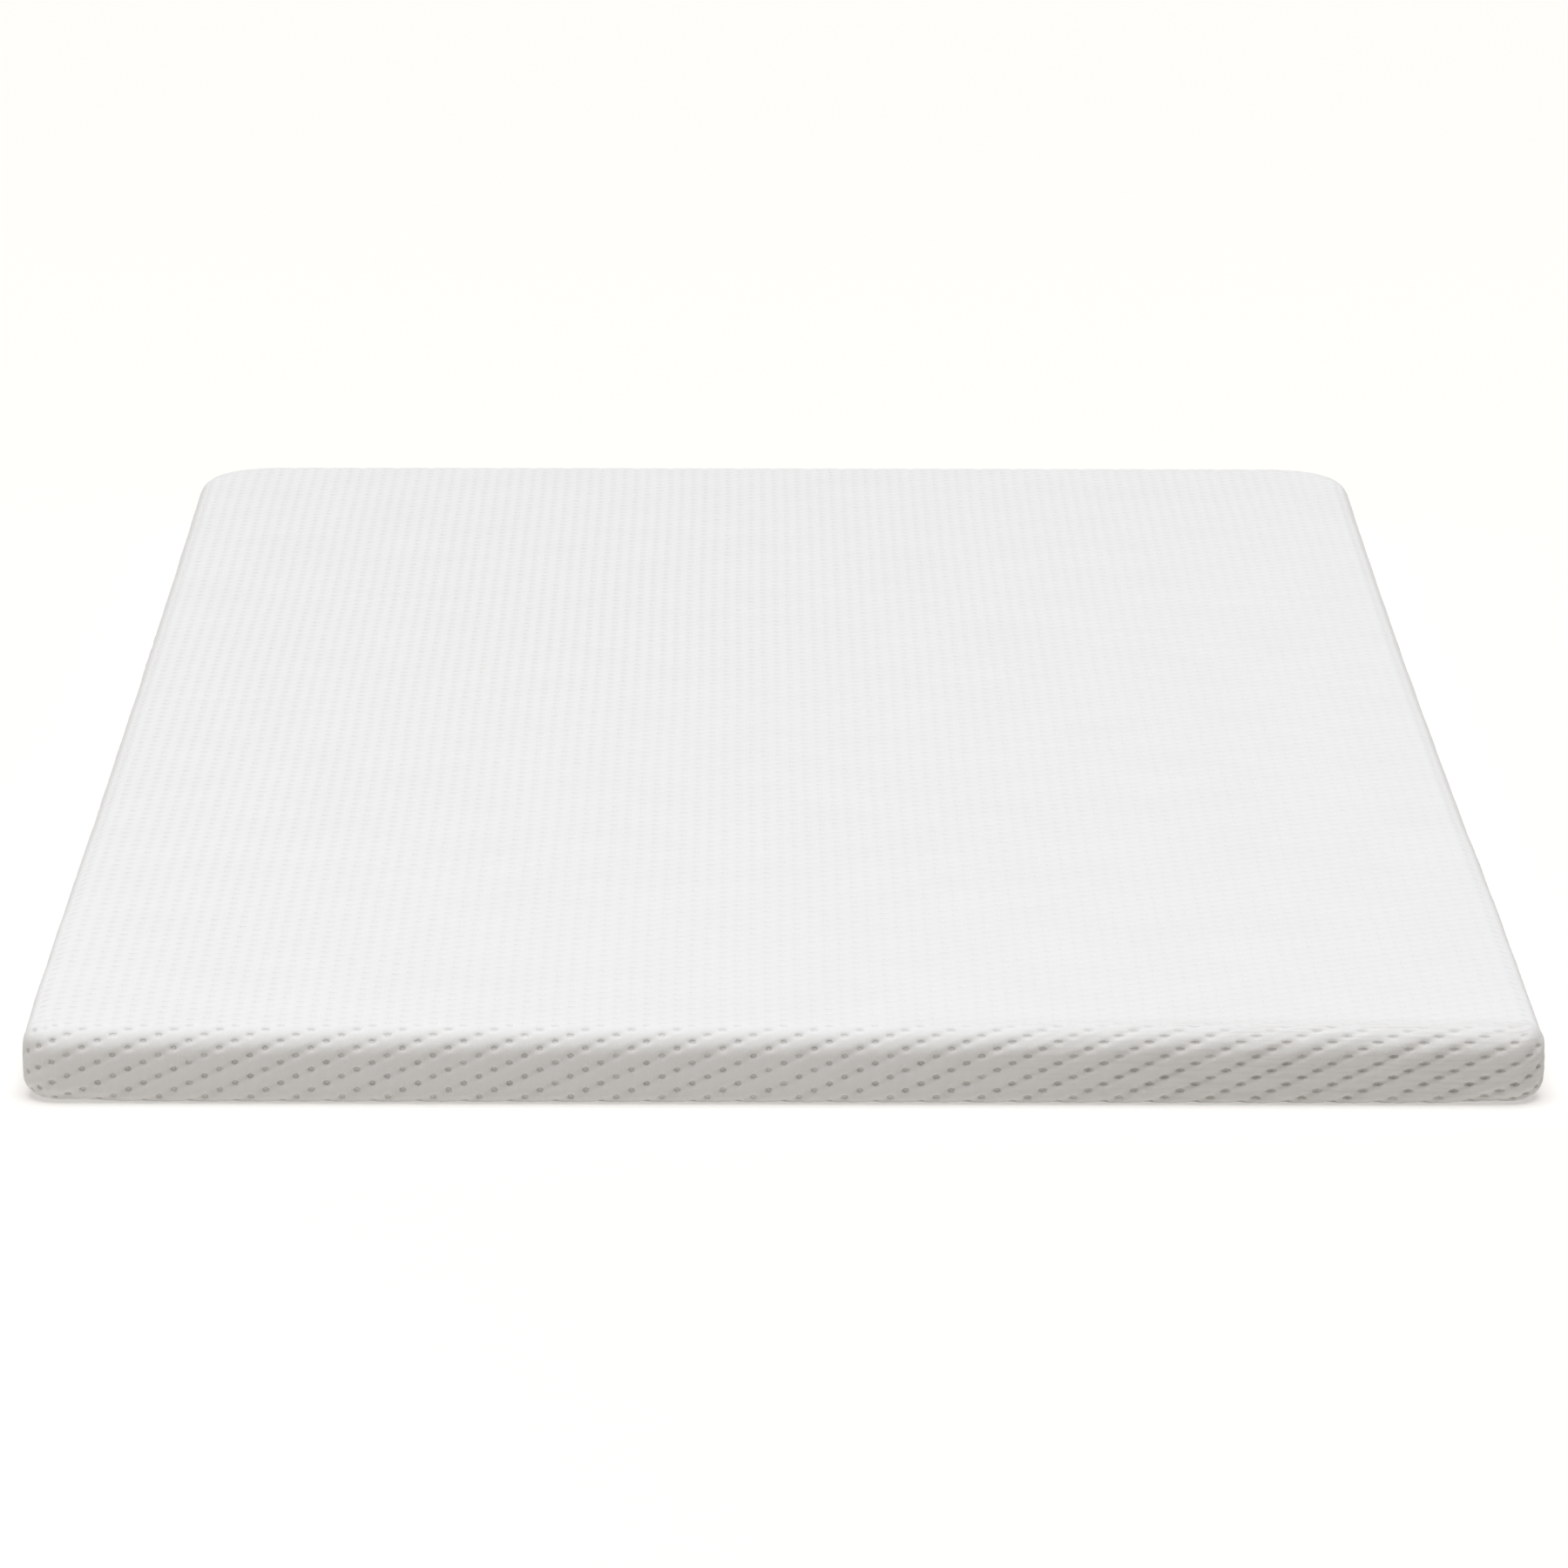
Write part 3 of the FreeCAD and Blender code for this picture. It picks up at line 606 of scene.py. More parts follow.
def spread_offset(offset, rows, columns):
    """The coarse offsets on the fine grid: a blend of the four nearest, first along and then across."""
    row_at, row_share = share_between(len(along_lines), rows)
    column_at, column_share = share_between(len(across_lines), columns)
    row_share, column_share = row_share[:, None, None], column_share[None, :, None]
    blend = offset[row_at] * (1 - row_share) + offset[row_at + 1] * row_share
    return blend[:, column_at] * (1 - column_share) + blend[:, column_at + 1] * column_share


sim_rows = np.unique(np.append(np.arange(0, len(along_lines), SIM_STEP), len(along_lines) - 1))
sim_columns = np.unique(np.append(np.arange(0, len(across_lines), SIM_STEP), len(across_lines) - 1))
cap_slack = np.zeros((*across.shape, 3))
cap_slack = spread_offset(simulated_slack(sim_rows, sim_columns), sim_rows, sim_columns)

# %% Cap surface
WANDER = 1.6 * MM
CROWN = 1.8 * MM
DRAW_IN = np.array([1.0, 2.6]) * MM
DRAW_MIDDLE = 0.25
DRAW_REACH = 0.72
SQUARE_EDGE = 2.2 * MM
PUFF = 0.9 * MM
UNEVEN = 0.45 * MM
CREASE = 0.80 * MM
SAG = 2.6 * MM


def outline_fullness(facts, place_x, along):
    """How far the edges stand fuller than plain arcs: the bottom edge sags, and the foot's side edges are
    squarer.

    Each is the square of the sine of twice the angle turned, so it is nothing where the arc starts and
    ends.
    """
    lower_way = facts["way"] - cover_form["top_arc"] - cover_form["wall"]
    lower_turn = np.clip(lower_way / cover_form["bottom_edge"], 0, math.pi / 2)
    sag = SAG * np.sin(2.0 * lower_turn) ** 2 * (1.0 - smooth_step(np.abs(place_x), 0.42, 0.47))
    upper_turn = np.clip(facts["way"] / cover_form["top_edge"], 0, math.pi / 2)
    at_side = smooth_step(np.abs(place_x), 0.46, 0.49) * smooth_step(-along, 0.3, 0.8)
    sides = np.cos(facts["turn"]) ** 2 * at_side
    return sag + SQUARE_EDGE * np.sin(2.0 * upper_turn) ** 2 * sides


def cap_surface(across, along, settled=0.0):
    """Points of the cap, its cloth coordinates, and how much of the pattern shows there.

    The sheet first slides a little on itself, by slow waves that die out at the corners, at the base and
    at the zip. Then it is draped, and moved along its own facing by the unevenness, the crown, the
    creases and the knit. settled is the simulation's offset, which dies out at the zip too.
    """
    calm = 1.0 - smooth_step(np.abs(across), 0.44, 0.50)
    calm = calm * (1.0 - smooth_step(np.abs(along), 0.86, 0.95))
    slide_x = WANDER * calm * slack(across, along * 0.6, 11, 0.34)
    slide_y = 0.6 * WANDER * calm * slack(across, along, 12, 0.40)
    points, facing, facts = drape(cover_form, across + slide_x, along + slide_y)
    place_x, place_y, shows = cloth_place(cover_form, across, along, points, facts)
    points = run_under(points, facts["way"])
    off_seam = 1.0 - smooth_step(facts["way"], 0.55 * cover_form["wrap"], cover_form["wrap"])
    at_zip = smooth_step(along, FLAT_HALF_LENGTH - 20 * MM, FLAT_HALF_LENGTH + 10 * MM)
    free = off_seam * (1.0 - at_zip)
    uneven = UNEVEN * (slack(place_x, place_y, 21, 0.16) + 0.4 * slack(place_x, place_y, 22, 0.05))
    dome = np.clip(1.0 - (across / HALF_WIDTH) ** 2, 0, 1)
    dome = dome * np.clip(1.0 - (along / HALF_LENGTH) ** 2, 0, 1)
    at_end = smooth_step(-along, HALF_LENGTH - 60 * MM, FLAT_HALF_LENGTH + 6 * MM) * off_seam
    dragged = smooth_step(place_x, -0.05, 0.30)
    creases = slack(place_x, place_y, 31, 0.011, 14, heading=math.radians(112), lean=0.16)
    creases = CREASE * creases * at_end * (0.25 + 0.75 * dragged)
    under = smooth_step(facts["way"], cover_form["wrap"] - 8 * MM, cover_form["wrap"])
    pulled = smooth_step(facts["way"], 0.3 * cover_form["top_arc"], 1.1 * cover_form["top_arc"])
    relief = knit_relief(place_x, place_y, pulled * (0.4 + 0.6 * dragged)) * shows * (1.0 - 0.9 * under)
    form_out = uneven * free + CROWN * np.sqrt(dome) + creases + outline_fullness(facts, place_x, along)
    form_out = form_out + PUFF * pulled * free
    settled = settled * (free * (0.4 + 0.6 * pulled))[..., None]
    points = points + facing * (form_out + relief)[..., None] + settled
    middle = np.clip(1.0 - ((points[..., 1] - DRAW_MIDDLE) / DRAW_REACH) ** 2, 0.0, 1.0)
    near_side = smooth_step(np.abs(points[..., 0]), HALF_WIDTH - 0.12, HALF_WIDTH)
    draw = np.where(points[..., 0] > 0, DRAW_IN[1], DRAW_IN[0]) * middle * near_side
    points[..., 0] -= np.sign(points[..., 0]) * draw
    points[..., 2] = np.maximum(points[..., 2], 0.0)
    return points, place_x, place_y, shows, facts


cap_points, cap_u, cap_v, cap_shows, cap_facts = cap_surface(across, along, cap_slack)
print(f"cap reaches {cap_points[..., 2].max():.4f} m high")

# %% [markdown]
# ## The slot for the zip
# The cells inside the slot are taken out. The cut edge is turned in: a few extra rows run straight into the
# bed, so the knit shows its thickness there.

# %% Slot and turned edge
TURN_ROWS = 3
TURN_DEPTH = 2.0 * CLOTH


def turned_edge(edge_points, first, depth=TURN_DEPTH, rows=TURN_ROWS):
    """Rows that go in from a cut edge, towards -Y, and the quads that join them. first is their first
    number."""
    into = np.array([0.0, -1.0, 0.0]) * depth
    parts = np.arange(1, rows + 1) / rows
    extra = edge_points[None, :, :] + into * parts[:, None, None]
    return extra.reshape(-1, 3), first + np.arange(rows * len(edge_points)).reshape(rows, -1)


def cap_quads():
    """All cells of the cap's grid except those of the slot and the lower strip."""
    quads = grid_quads(*across.shape).reshape(len(along_lines) - 1, len(across_lines) - 1, 4)
    row = np.abs(along_lines - SLOT_LINE).argmin()
    left, right = (np.abs(across_lines - edge).argmin() for edge in (-ZIP_HALF, ZIP_HALF))
    keep = np.ones(quads.shape[:2], bool)
    keep[row:, left:right] = False
    return quads[keep], row, left, right


def strip_quads(rows):
    """The quads between rows of point numbers."""
    return np.stack([rows[:-1, :-1], rows[:-1, 1:], rows[1:, 1:], rows[1:, :-1]], axis=-1).reshape(-1, 4)


open_quads, slot_row, slot_left, slot_right = cap_quads()
number = np.arange(across.size).reshape(across.shape)
slot_head = number[slot_row, slot_left:slot_right + 1]
slot_edges = (slot_head, number[slot_row:, slot_left], number[slot_row:, slot_right])
cap_parts, quad_parts, source_parts = [cap_points.reshape(-1, 3)], [open_quads], [np.arange(across.size)]
point_count = across.size
for slot_edge, turned_round in zip(slot_edges, (False, False, True)):
    edge_points, edge_numbers = turned_edge(cap_parts[0][slot_edge], point_count)
    edge_quads = strip_quads(np.concatenate([slot_edge[None, :], edge_numbers]))
    quad_parts.append(edge_quads[:, ::-1] if turned_round else edge_quads)
    cap_parts.append(edge_points)
    source_parts.append(np.tile(slot_edge, TURN_ROWS))
    point_count += len(edge_points)
cap_mesh_quads = np.concatenate(quad_parts)
in_use = np.zeros(point_count, bool)
in_use[cap_mesh_quads.ravel()] = True
source = np.concatenate(source_parts)[in_use]
new_number = np.cumsum(in_use) - 1
cap_cloth = np.stack([cap_u, cap_v], axis=-1).reshape(-1, 2)[source]
cover = new_piece("knit_cap", np.concatenate(cap_parts)[in_use], new_number[cap_mesh_quads], cap_cloth)


# %% Attributes for the finish
def add_attributes(piece, **named_values):
    """Numbers for each point of the mesh, which a material can read by name."""
    for name, values in named_values.items():
        attribute = piece.data.attributes.new(name, "FLOAT", "POINT")
        attribute.data.foreach_set("value", np.asarray(values, np.float32).ravel())


def ribbed_part(across, along):
    """How strong the painted shade in the gutters between the columns and in the eyelet rings is on the level
    top: most at the head end's left, least at the foot's right."""
    return smooth_step(0.5 - 0.9 * across + 0.45 * along + 0.25 * slack(across, along, 61, 0.5), -0.1, 1.1)


# The wall share: 0 on the flat top, 1 past the top arc. It sets where the knit's colour turns to the walls'
# painted shade colour, darker and warmer than the top, and where the eyelets open fully.
cap_wall_share = smooth_step(cap_facts["way"], 0.10 * cover_form["top_arc"], cover_form["top_arc"])
# Where the painted shade in the gutters and eyelet rings on the level top is strongest: at the head end's
# left, least at the foot's right.
cap_ribbed = ribbed_part(across, along)
# How open the eyelets are and how dark their rings are painted: fully on the walls, a fifth to two fifths on
# the level top. The rings' darkness is partly the yarn's tone and partly painted shade in the pits.
cap_open_and_shaded = (0.20 + 0.20 * cap_ribbed) * (1.0 - cap_wall_share) + cap_wall_share
# The right part of the foot end, where the knit is dragged: there the eyelets change shape, and painted shade
# darkens the knit and streaks it along its creases.
cap_drag_and_shade = smooth_step(cap_u, 0.0, 0.34) * smooth_step(-along, FLAT_HALF_LENGTH - 0.02, FLAT_HALF_LENGTH)
add_attributes(cover, open_eyelets=(cap_open_and_shaded * cap_shows).ravel()[source], pulled=cap_wall_share.ravel()[source],
               ribbed=((0.25 + 0.75 * cap_ribbed) * (1.0 - cap_wall_share)).ravel()[source],
               dragged=cap_drag_and_shade.ravel()[source])

# %% [markdown]
# ## The knit's finish
# The cloth is a cream-white double knit. Its finish has three scales: the eyelet, a dark ring with a lighter
# middle, the slanting rows, and the loops of the yarn, under a millimetre each. The pattern is
# worked out from the cloth coordinates with the same formula as the relief, so the rings sit in the pits.
# Much of the colour is painted shade. The rings are partly the yarn's own tone and partly painted shade in
# the pits. The furrows and the gutters between the columns are painted darker, the walls are painted darker
# and warmer than the top, and the right part of the foot end gets painted shade streaks along its creases.

# %% Knit material
KNIT_COLOUR = (0.752, 0.752, 0.750)
# The rings' colour: partly the yarn's own darker tone, partly painted shade in the pits.
RING_COLOUR = (0.27, 0.245, 0.215)
SHADE_COLOUR = (0.42, 0.385, 0.345)
# Painted shade: the walls' colour, darker and warmer than the top's, as the walls stand in shade.
WALL_SHADE_COLOUR = (0.712, 0.698, 0.680)
LOOP = 1.1 * MM


def eyelet_reach(material, place, drag, shows):
    """How far a place is from its nearest eyelet's middle, in eyelet radii, with a ragged outline.

    The nearest eyelet is found as in the relief. Its radii grow across and shrink along where the knit is
    dragged.
    """
    column = calc(material, "DIVIDE", step(material, "SeparateXYZ", place), COLUMN)
    nearest = calc(material, "ROUND", column)
    off_x = times(material, less(material, column, nearest), COLUMN)
    along_column = calc(material, "DIVIDE", step(material, "SeparateXYZ", place, out=1), PITCH)
    along_column = less(material, along_column, calc(material, "DIVIDE", nearest, 3.0))
    off_y = times(material, less(material, along_column, calc(material, "ROUND", along_column)), PITCH)
    wide = plus(material, spread(material, drag, 0.0, 1.0, 2.05 * MM, 3.3 * MM),
                spread(material, shows, 0.4, 0.8, 0.6 * MM, 0.0))
    high = spread(material, drag, 0.0, 1.0, 1.60 * MM, 1.15 * MM)
    ring_x, ring_y = calc(material, "DIVIDE", off_x, wide), calc(material, "DIVIDE", off_y, high)
    squares = times(material, ring_x, ring_x), times(material, ring_y, ring_y)
    reach = calc(material, "SQRT", plus(material, *squares))
    wobble = step(material, "TexNoise", place, None, 900.0, 2.0)
    return plus(material, reach, spread(material, wobble, 0.3, 0.7, -0.22, 0.22))


def slanting_shade(material, place, drag, shows):
    """Painted shade in the furrows between slanting rows of eyelets, and painted shade in the gutters between
    the columns on the level top."""
    column = calc(material, "DIVIDE", step(material, "SeparateXYZ", place), COLUMN)
    slant = calc(material, "DIVIDE", step(material, "SeparateXYZ", place, out=1), PITCH)
    slant = less(material, slant, calc(material, "DIVIDE", column, 3.0))
    wave = calc(material, "COSINE", times(material, slant, 2 * math.pi))
    furrow = calc(material, "POWER", spread(material, wave, -1.0, 1.0, 0.0, 1.0), 3.0)
    furrow = times(material, furrow, spread(material, shows, 0.45, 1.0, 0.0, 1.0))
    # The furrows' painted shade is darker on the right part of the foot end.
    furrow = times(material, furrow, spread(material, drag, 0.0, 1.0, 0.11, 0.20))
    patches = spread(material, step(material, "TexNoise", place, None, 24.0, 2.0), 0.35, 0.65, 0.35, 1.2)
    gutter = calc(material, "COSINE", times(material, column, 2 * math.pi))
    gutter = calc(material, "POWER", spread(material, gutter, -1.0, 1.0, 0.0, 1.0), 1.5)
    ribs = fine_attribute(material, "ribbed")
    # The gutters between the columns get painted shade, as strong as the attribute read here says.
    gutter = times(material, gutter, spread(material, ribs, 0.0, 1.0, 0.0, 0.075))
    return plus(material, times(material, furrow, patches), gutter)


def crease_shade_streaks(material, place, drag):
    """Painted shade on the right part of the foot end: an even darkening, and long thin dark streaks that
    lean along the creases.
    """
    turned = step(material, "Mapping", place, None, (0.0, 0.0, math.radians(-23.0)), (28.0, 420.0, 1.0))
    streak = spread(material, step(material, "TexNoise", turned, None, 1.0, 3.0), 0.46, 0.72, 0.0, 1.0)
    return times(material, plus(material, times(material, streak, 0.22), 0.06), drag)


def knit_finish(name):
    """The knit's material: eyelet rings that are partly painted shade in the pits, patchy painted shade in
    the furrows and gutters, painted shade on the walls and along the creases, a cloudy tone, loops and their
    relief.
    """
    material, shader = new_material(name, KNIT_COLOUR, 0.92)
    shader.inputs["Specular IOR Level"].default_value = 0.25
    shader.inputs["Sheen Weight"].default_value = 0.12
    shader.inputs["Sheen Roughness"].default_value = 0.5
    place = step(material, "UVMap", uv_map="cloth")
    shows, drag = fine_attribute(material, "open_eyelets"), fine_attribute(material, "dragged")

    reach = eyelet_reach(material, place, drag, shows)
    from_ring = calc(material, "ABSOLUTE", less(material, reach, 0.72))
    ring = spread(material, from_ring, 0.0, 0.48, 1.0, 0.0)
    inside = spread(material, reach, 0.55, 1.25, 1.0, 0.0)
    filled = times(material, inside, spread(material, drag, 0.0, 1.0, 0.38, 0.8))
    some = step(material, "TexNoise", place, None, 70.0, 1.0)
    # The ring and the filled middle are partly the yarn's tone and partly painted shade in the pits. This is
    # strongest on the walls, and in the middle it is strongest on the right part of the foot end.
    dark = times(material, calc(material, "MAXIMUM", ring, filled), shows)
    dark = times(material, dark, spread(material, some, 0.35, 0.65, 0.30, 0.62))

    cloud = spread(material, step(material, "TexNoise", place, None, 14.0, 3.0), 0.3, 0.7, 0.0, 1.0)
    body = mixed(material, cloud, [c * 0.99 for c in KNIT_COLOUR], [c * 1.01 for c in KNIT_COLOUR])
    # Painted shade: on the walls the knit's colour turns darker and warmer.
    pulled = spread(material, fine_attribute(material, "pulled"), 0.28, 1.0, 0.0, 1.0)
    body = mixed(material, pulled, body, WALL_SHADE_COLOUR)
    shade = plus(material, slanting_shade(material, place, drag, shows), crease_shade_streaks(material, place, drag))
    body = mixed(material, shade, body, SHADE_COLOUR)
    paint(material, shader, mixed(material, dark, body, RING_COLOUR))

    wales = stripes(material, place, LOOP, 1.5, detail_scale=2.0)
    loops = step(material, "TexVoronoi", place, None, 1.0 / LOOP, feature="SMOOTH_F1")
    yarn = plus(material, times(material, wales, 0.35), times(material, loops, 0.65))
    pit = times(material, times(material, inside, shows), -3.0)
    bump(material, shader, plus(material, yarn, pit), 0.16 * MM, 0.8)
    return material


knit = knit_finish("cream_double_knit")
dress(cover, "cover_top", knit)
print("knit nodes", len(knit.node_tree.nodes))

# %% [markdown]
# ## The band under the zip
# The band below the slot is the same knit, sewn to the lower tape. It is a strip of the same draped sheet,
# with its upper edge turned in as the cap's is, so it uses the cap's own surface over its own finer grid.

# %% Lower band
band_across = even_lines(-ZIP_HALF, ZIP_HALF, COLUMN / 8)
band_along = even_lines(STRIP_LINE, FLAT_HALF_LENGTH + REACH, PITCH / 10)
band_v, band_u = np.meshgrid(band_along, band_across, indexing="ij")
band_points, band_place_u, band_place_v, _, _ = cap_surface(band_u, band_v)
turned, turned_numbers = turned_edge(band_points[0], band_u.size)
band_quads = strip_quads(np.concatenate([turned_numbers[::-1], np.arange(band_u.size).reshape(band_u.shape)]))
band_cloth = np.stack([band_place_u, band_place_v], axis=-1)
band_points = np.concatenate([band_points.reshape(-1, 3), turned])
band_cloth = np.concatenate([band_cloth.reshape(-1, 2), np.tile(band_cloth[0], (TURN_ROWS, 1))])
band = new_piece("knit_band_under_zip", band_points, band_quads, band_cloth)
everywhere, nowhere = np.ones(len(band_points)), np.zeros(len(band_points))
# The band is part of the wall, so it takes the walls' painted shade colour and fully dark, partly painted
# rings.
add_attributes(band, open_eyelets=everywhere, pulled=everywhere, ribbed=nowhere, dragged=nowhere)
dress(band, "rear_lower_strip", knit)

# %% [markdown]
# ## Closed slabs
# The base cloth, the sock, the glue film and the two foams are closed slabs. Each one's upper grid is
# draped as the cover is, down to its floor. Its lower grid is level. Both have the same numbers of rows and
# columns and share their outermost ring of points, so the slab has no open edge.

# %% Slab maker
def edge_lines(half, zone, fine, coarse):
    """Grid lines from -half to half, at a fine step in the zone at each end and at a coarse one between."""
    inner = np.linspace(-half + zone, half - zone, max(3, round(2 * (half - zone) / coarse)))
    rim = np.linspace(0.0, zone, max(3, round(zone / fine)) + 1)[:-1]
    return np.concatenate([rim - half, inner, (half - rim)[::-1]])


def closed_slab(name, form, coarse, fine, unevenness=0.0, seed=1):
    """A closed slab in a form. Its unevenness is a seeded wave on the top that dies out at the edge.

    The lower grid keeps each point's turn, and its radius at a corner grows evenly from nothing to the
    outline's.
    """
    reach = form["wrap"] - form["top_edge"]
    zone = max(form["corners"]) + reach
    lines_x = edge_lines(form["half_width"] + reach, zone, fine, coarse)
    lines_y = edge_lines(form["half_length"] + reach, zone, fine, coarse)
    y, x = np.meshgrid(lines_y, lines_x, indexing="ij")
    upper, _, facts = drape(form, x, y)
    calm = 1.0 - smooth_step(facts["way"], -60 * MM, 0.0)
    upper[..., 2] += unevenness * calm * slack(x, y, seed, 0.22)
    corner = facts["radius"]
    radius = facts["way_out"] / (corner + reach) * (corner - form["bottom_edge"])
    wide, far_x = np.abs(x), form["half_width"] - corner
    long, far_y = np.abs(y), form["half_length"] - corner
    level_x = np.sign(x) * (np.minimum(wide, far_x) + radius * np.cos(facts["turn"]) * (wide > far_x))
    level_y = np.sign(y) * (np.minimum(long, far_y) + radius * np.sin(facts["turn"]) * (long > far_y))
    lower = np.stack([level_x, level_y, np.full_like(level_x, form["floor"])], axis=-1)
    rim = np.ones(x.shape, bool)
    rim[1:-1, 1:-1] = False
    number = np.arange(x.size).reshape(x.shape)
    lower_number = np.where(rim, number, x.size + np.cumsum(~rim.ravel()).reshape(x.shape) - 1)
    top_quads = grid_quads(*x.shape)
    low_quads = lower_number.ravel()[top_quads][:, ::-1]
    points = np.concatenate([upper.reshape(-1, 3), lower[~rim]])
    plan = np.stack([x, y], -1)
    cloth = np.concatenate([plan.reshape(-1, 2), plan[~rim]])
    piece = new_piece(name, points, np.concatenate([top_quads, low_quads]), cloth)
    piece.data.set_sharp_from_angle(angle=math.radians(50))
    return piece


def form_of(node, top_edge, bottom_edge, front_corner, rear_corner):
    """The form that fills a node's box, with its radii."""
    low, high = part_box(node)
    return slab_form(low, high, top_edge, bottom_edge, front_corner, rear_corner)


# %% [markdown]
# ## The foams
# The memory foam is slow and fine-celled, and was sliced from a block, so its faces carry a faint saw line.
# The base foam is coarser and greyer. Both materials get their cells from a cell pattern at the size of the
# real pores.

# %% Foam material
SAW_LINE = math.pi / 400


def foam_finish(name, colour, cell, roughness):
    """Open-cell foam: pores of a size as relief and a little shade, larger clouds of colour, and saw
    lines."""
    material, shader = new_material(name, colour, roughness)
    shader.inputs["Specular IOR Level"].default_value = 0.2
    shader.inputs["Subsurface Weight"].default_value = 0.1
    shader.inputs["Subsurface Scale"].default_value = 0.004
    place = step(material, "TexCoord", out=3)
    pores = step(material, "TexVoronoi", place, None, 1.0 / cell, feature="F1")
    grain = step(material, "TexNoise", place, None, 0.35 / cell, 4.0)
    cloud = step(material, "TexNoise", place, None, 9.0, 2.0)
    saw = stripes(material, place, SAW_LINE, 3.0, detail=2.0, direction="Y")
    in_clouds = spread(material, cloud, 0.3, 0.7, 0.0, 0.3)
    shade = plus(material, spread(material, pores, 0.0, 0.8, 0.35, 0.0), in_clouds)
    paint(material, shader, mixed(material, shade, colour, [c * 0.82 for c in colour]))
    height = plus(material, pores, plus(material, grain, times(material, saw, 0.4)))
    bump(material, shader, height, 0.5 * cell, 0.7)
    return material

# %% Memory foam and base foam
FOAM_CORNERS = (17.8 * MM, 59.8 * MM)
memory_form = form_of("comfort_layer", 11.8 * MM, 0.0, *FOAM_CORNERS)
memory_foam = closed_slab("memory_foam_sheet", memory_form, 14 * MM, 3 * MM, 0.15 * MM, 41)
memory_look = foam_finish("memory_foam", (0.80, 0.76, 0.62), 0.9 * MM, 0.85)
dress(memory_foam, "comfort_layer", memory_look)
base_form = form_of("support_layer", 0.05 * MM, 7.8 * MM, *FOAM_CORNERS)
base_foam = closed_slab("base_foam_sheet", base_form, 14 * MM, 3 * MM)
base_look = foam_finish("base_foam", (0.70, 0.71, 0.71), 1.5 * MM, 0.9)
dress(base_foam, "support_layer", base_look)

# %% [markdown]
# ## The glue film
# The two foams are joined by a sprayed film. It is thin and a little glossy, and thicker in some streaks
# than others.

# %% Glue film
def glue_finish():
    """A sprayed film: streaks that change how glossy it is, and specks as relief."""
    material, shader = new_material("sprayed_glue", (0.72, 0.66, 0.48), 0.4)
    place = step(material, "TexCoord", out=3)
    streaks = step(material, "TexNoise", place, None, 55.0, 4.0)
    specks = step(material, "TexVoronoi", place, None, 420.0, feature="F1")
    thick = spread(material, streaks, 0.35, 0.65, 0.0, 1.0)
    paint(material, shader, mixed(material, thick, (0.76, 0.71, 0.55), (0.66, 0.60, 0.42)))
    gloss(material, shader, streaks, 0.25, 0.55)
    bump(material, shader, specks, 0.1 * MM, 0.6)
    return material


bond_form = form_of("foam_bond", 0.1 * MM, 0.0, *FOAM_CORNERS)
bond = closed_slab("glue_film", bond_form, 20 * MM, 5 * MM)
dress(bond, "foam_bond", glue_finish())

# %% [markdown]
# ## The sock
# A thin knitted tube holds the foam together when the cover is off. It is drawn tight over the foam and its
# ends are overlocked. It is hollow, so it is one sheet given a small thickness towards the inside.

# %% Sock
def tricot_finish(name, colour, rib):
    """A thin plain knit: narrow ribs and loops, with a soft sheen."""
    material, shader = new_material(name, colour, 0.85)
    shader.inputs["Sheen Weight"].default_value = 0.2
    place = step(material, "UVMap", uv_map="cloth")
    ribs = stripes(material, place, rib, 0.4)
    loops = step(material, "TexVoronoi", place, None, 0.8 / rib, feature="SMOOTH_F1")
    cloud = step(material, "TexNoise", place, None, 12.0, 3.0)
    in_clouds = spread(material, cloud, 0.35, 0.65, 0.0, 0.3)
    shade = plus(material, spread(material, ribs, 0.0, 1.0, 0.3, 0.0), in_clouds)
    paint(material, shader, mixed(material, shade, colour, [c * 0.86 for c in colour]))
    bump(material, shader, plus(material, ribs, loops), 0.5 * rib, 0.6)
    return material


def add_wall(piece, thickness, offset=-1.0):
    """Gives a sheet its thickness. An offset of -1 puts it all on the inside."""
    wall = piece.modifiers.new("thickness", "SOLIDIFY")
    wall.thickness = thickness
    wall.offset = offset


sock_form = form_of("inner_liner", 12.6 * MM, 8.6 * MM, 18.6 * MM, 60.6 * MM)
sock = closed_slab("inner_sock", sock_form, 14 * MM, 3 * MM, 0.0, 44)
add_wall(sock, 0.5 * MM)
dress(sock, "inner_liner", tricot_finish("sock_tricot", (0.78, 0.78, 0.76), 1.2 * MM))

# %% [markdown]
# ## The base cloth
# The underside is a plain cloth with small rubbery dots that keep the bed from sliding. It lies on the
# floor, and its edge rises a little to the seam. The dots are thin prints, so they are relief and gloss in
# the finish.

# %% Base cloth
DOT_SPACING = 8.0 * MM
YARN_SPACING = 0.7 * MM


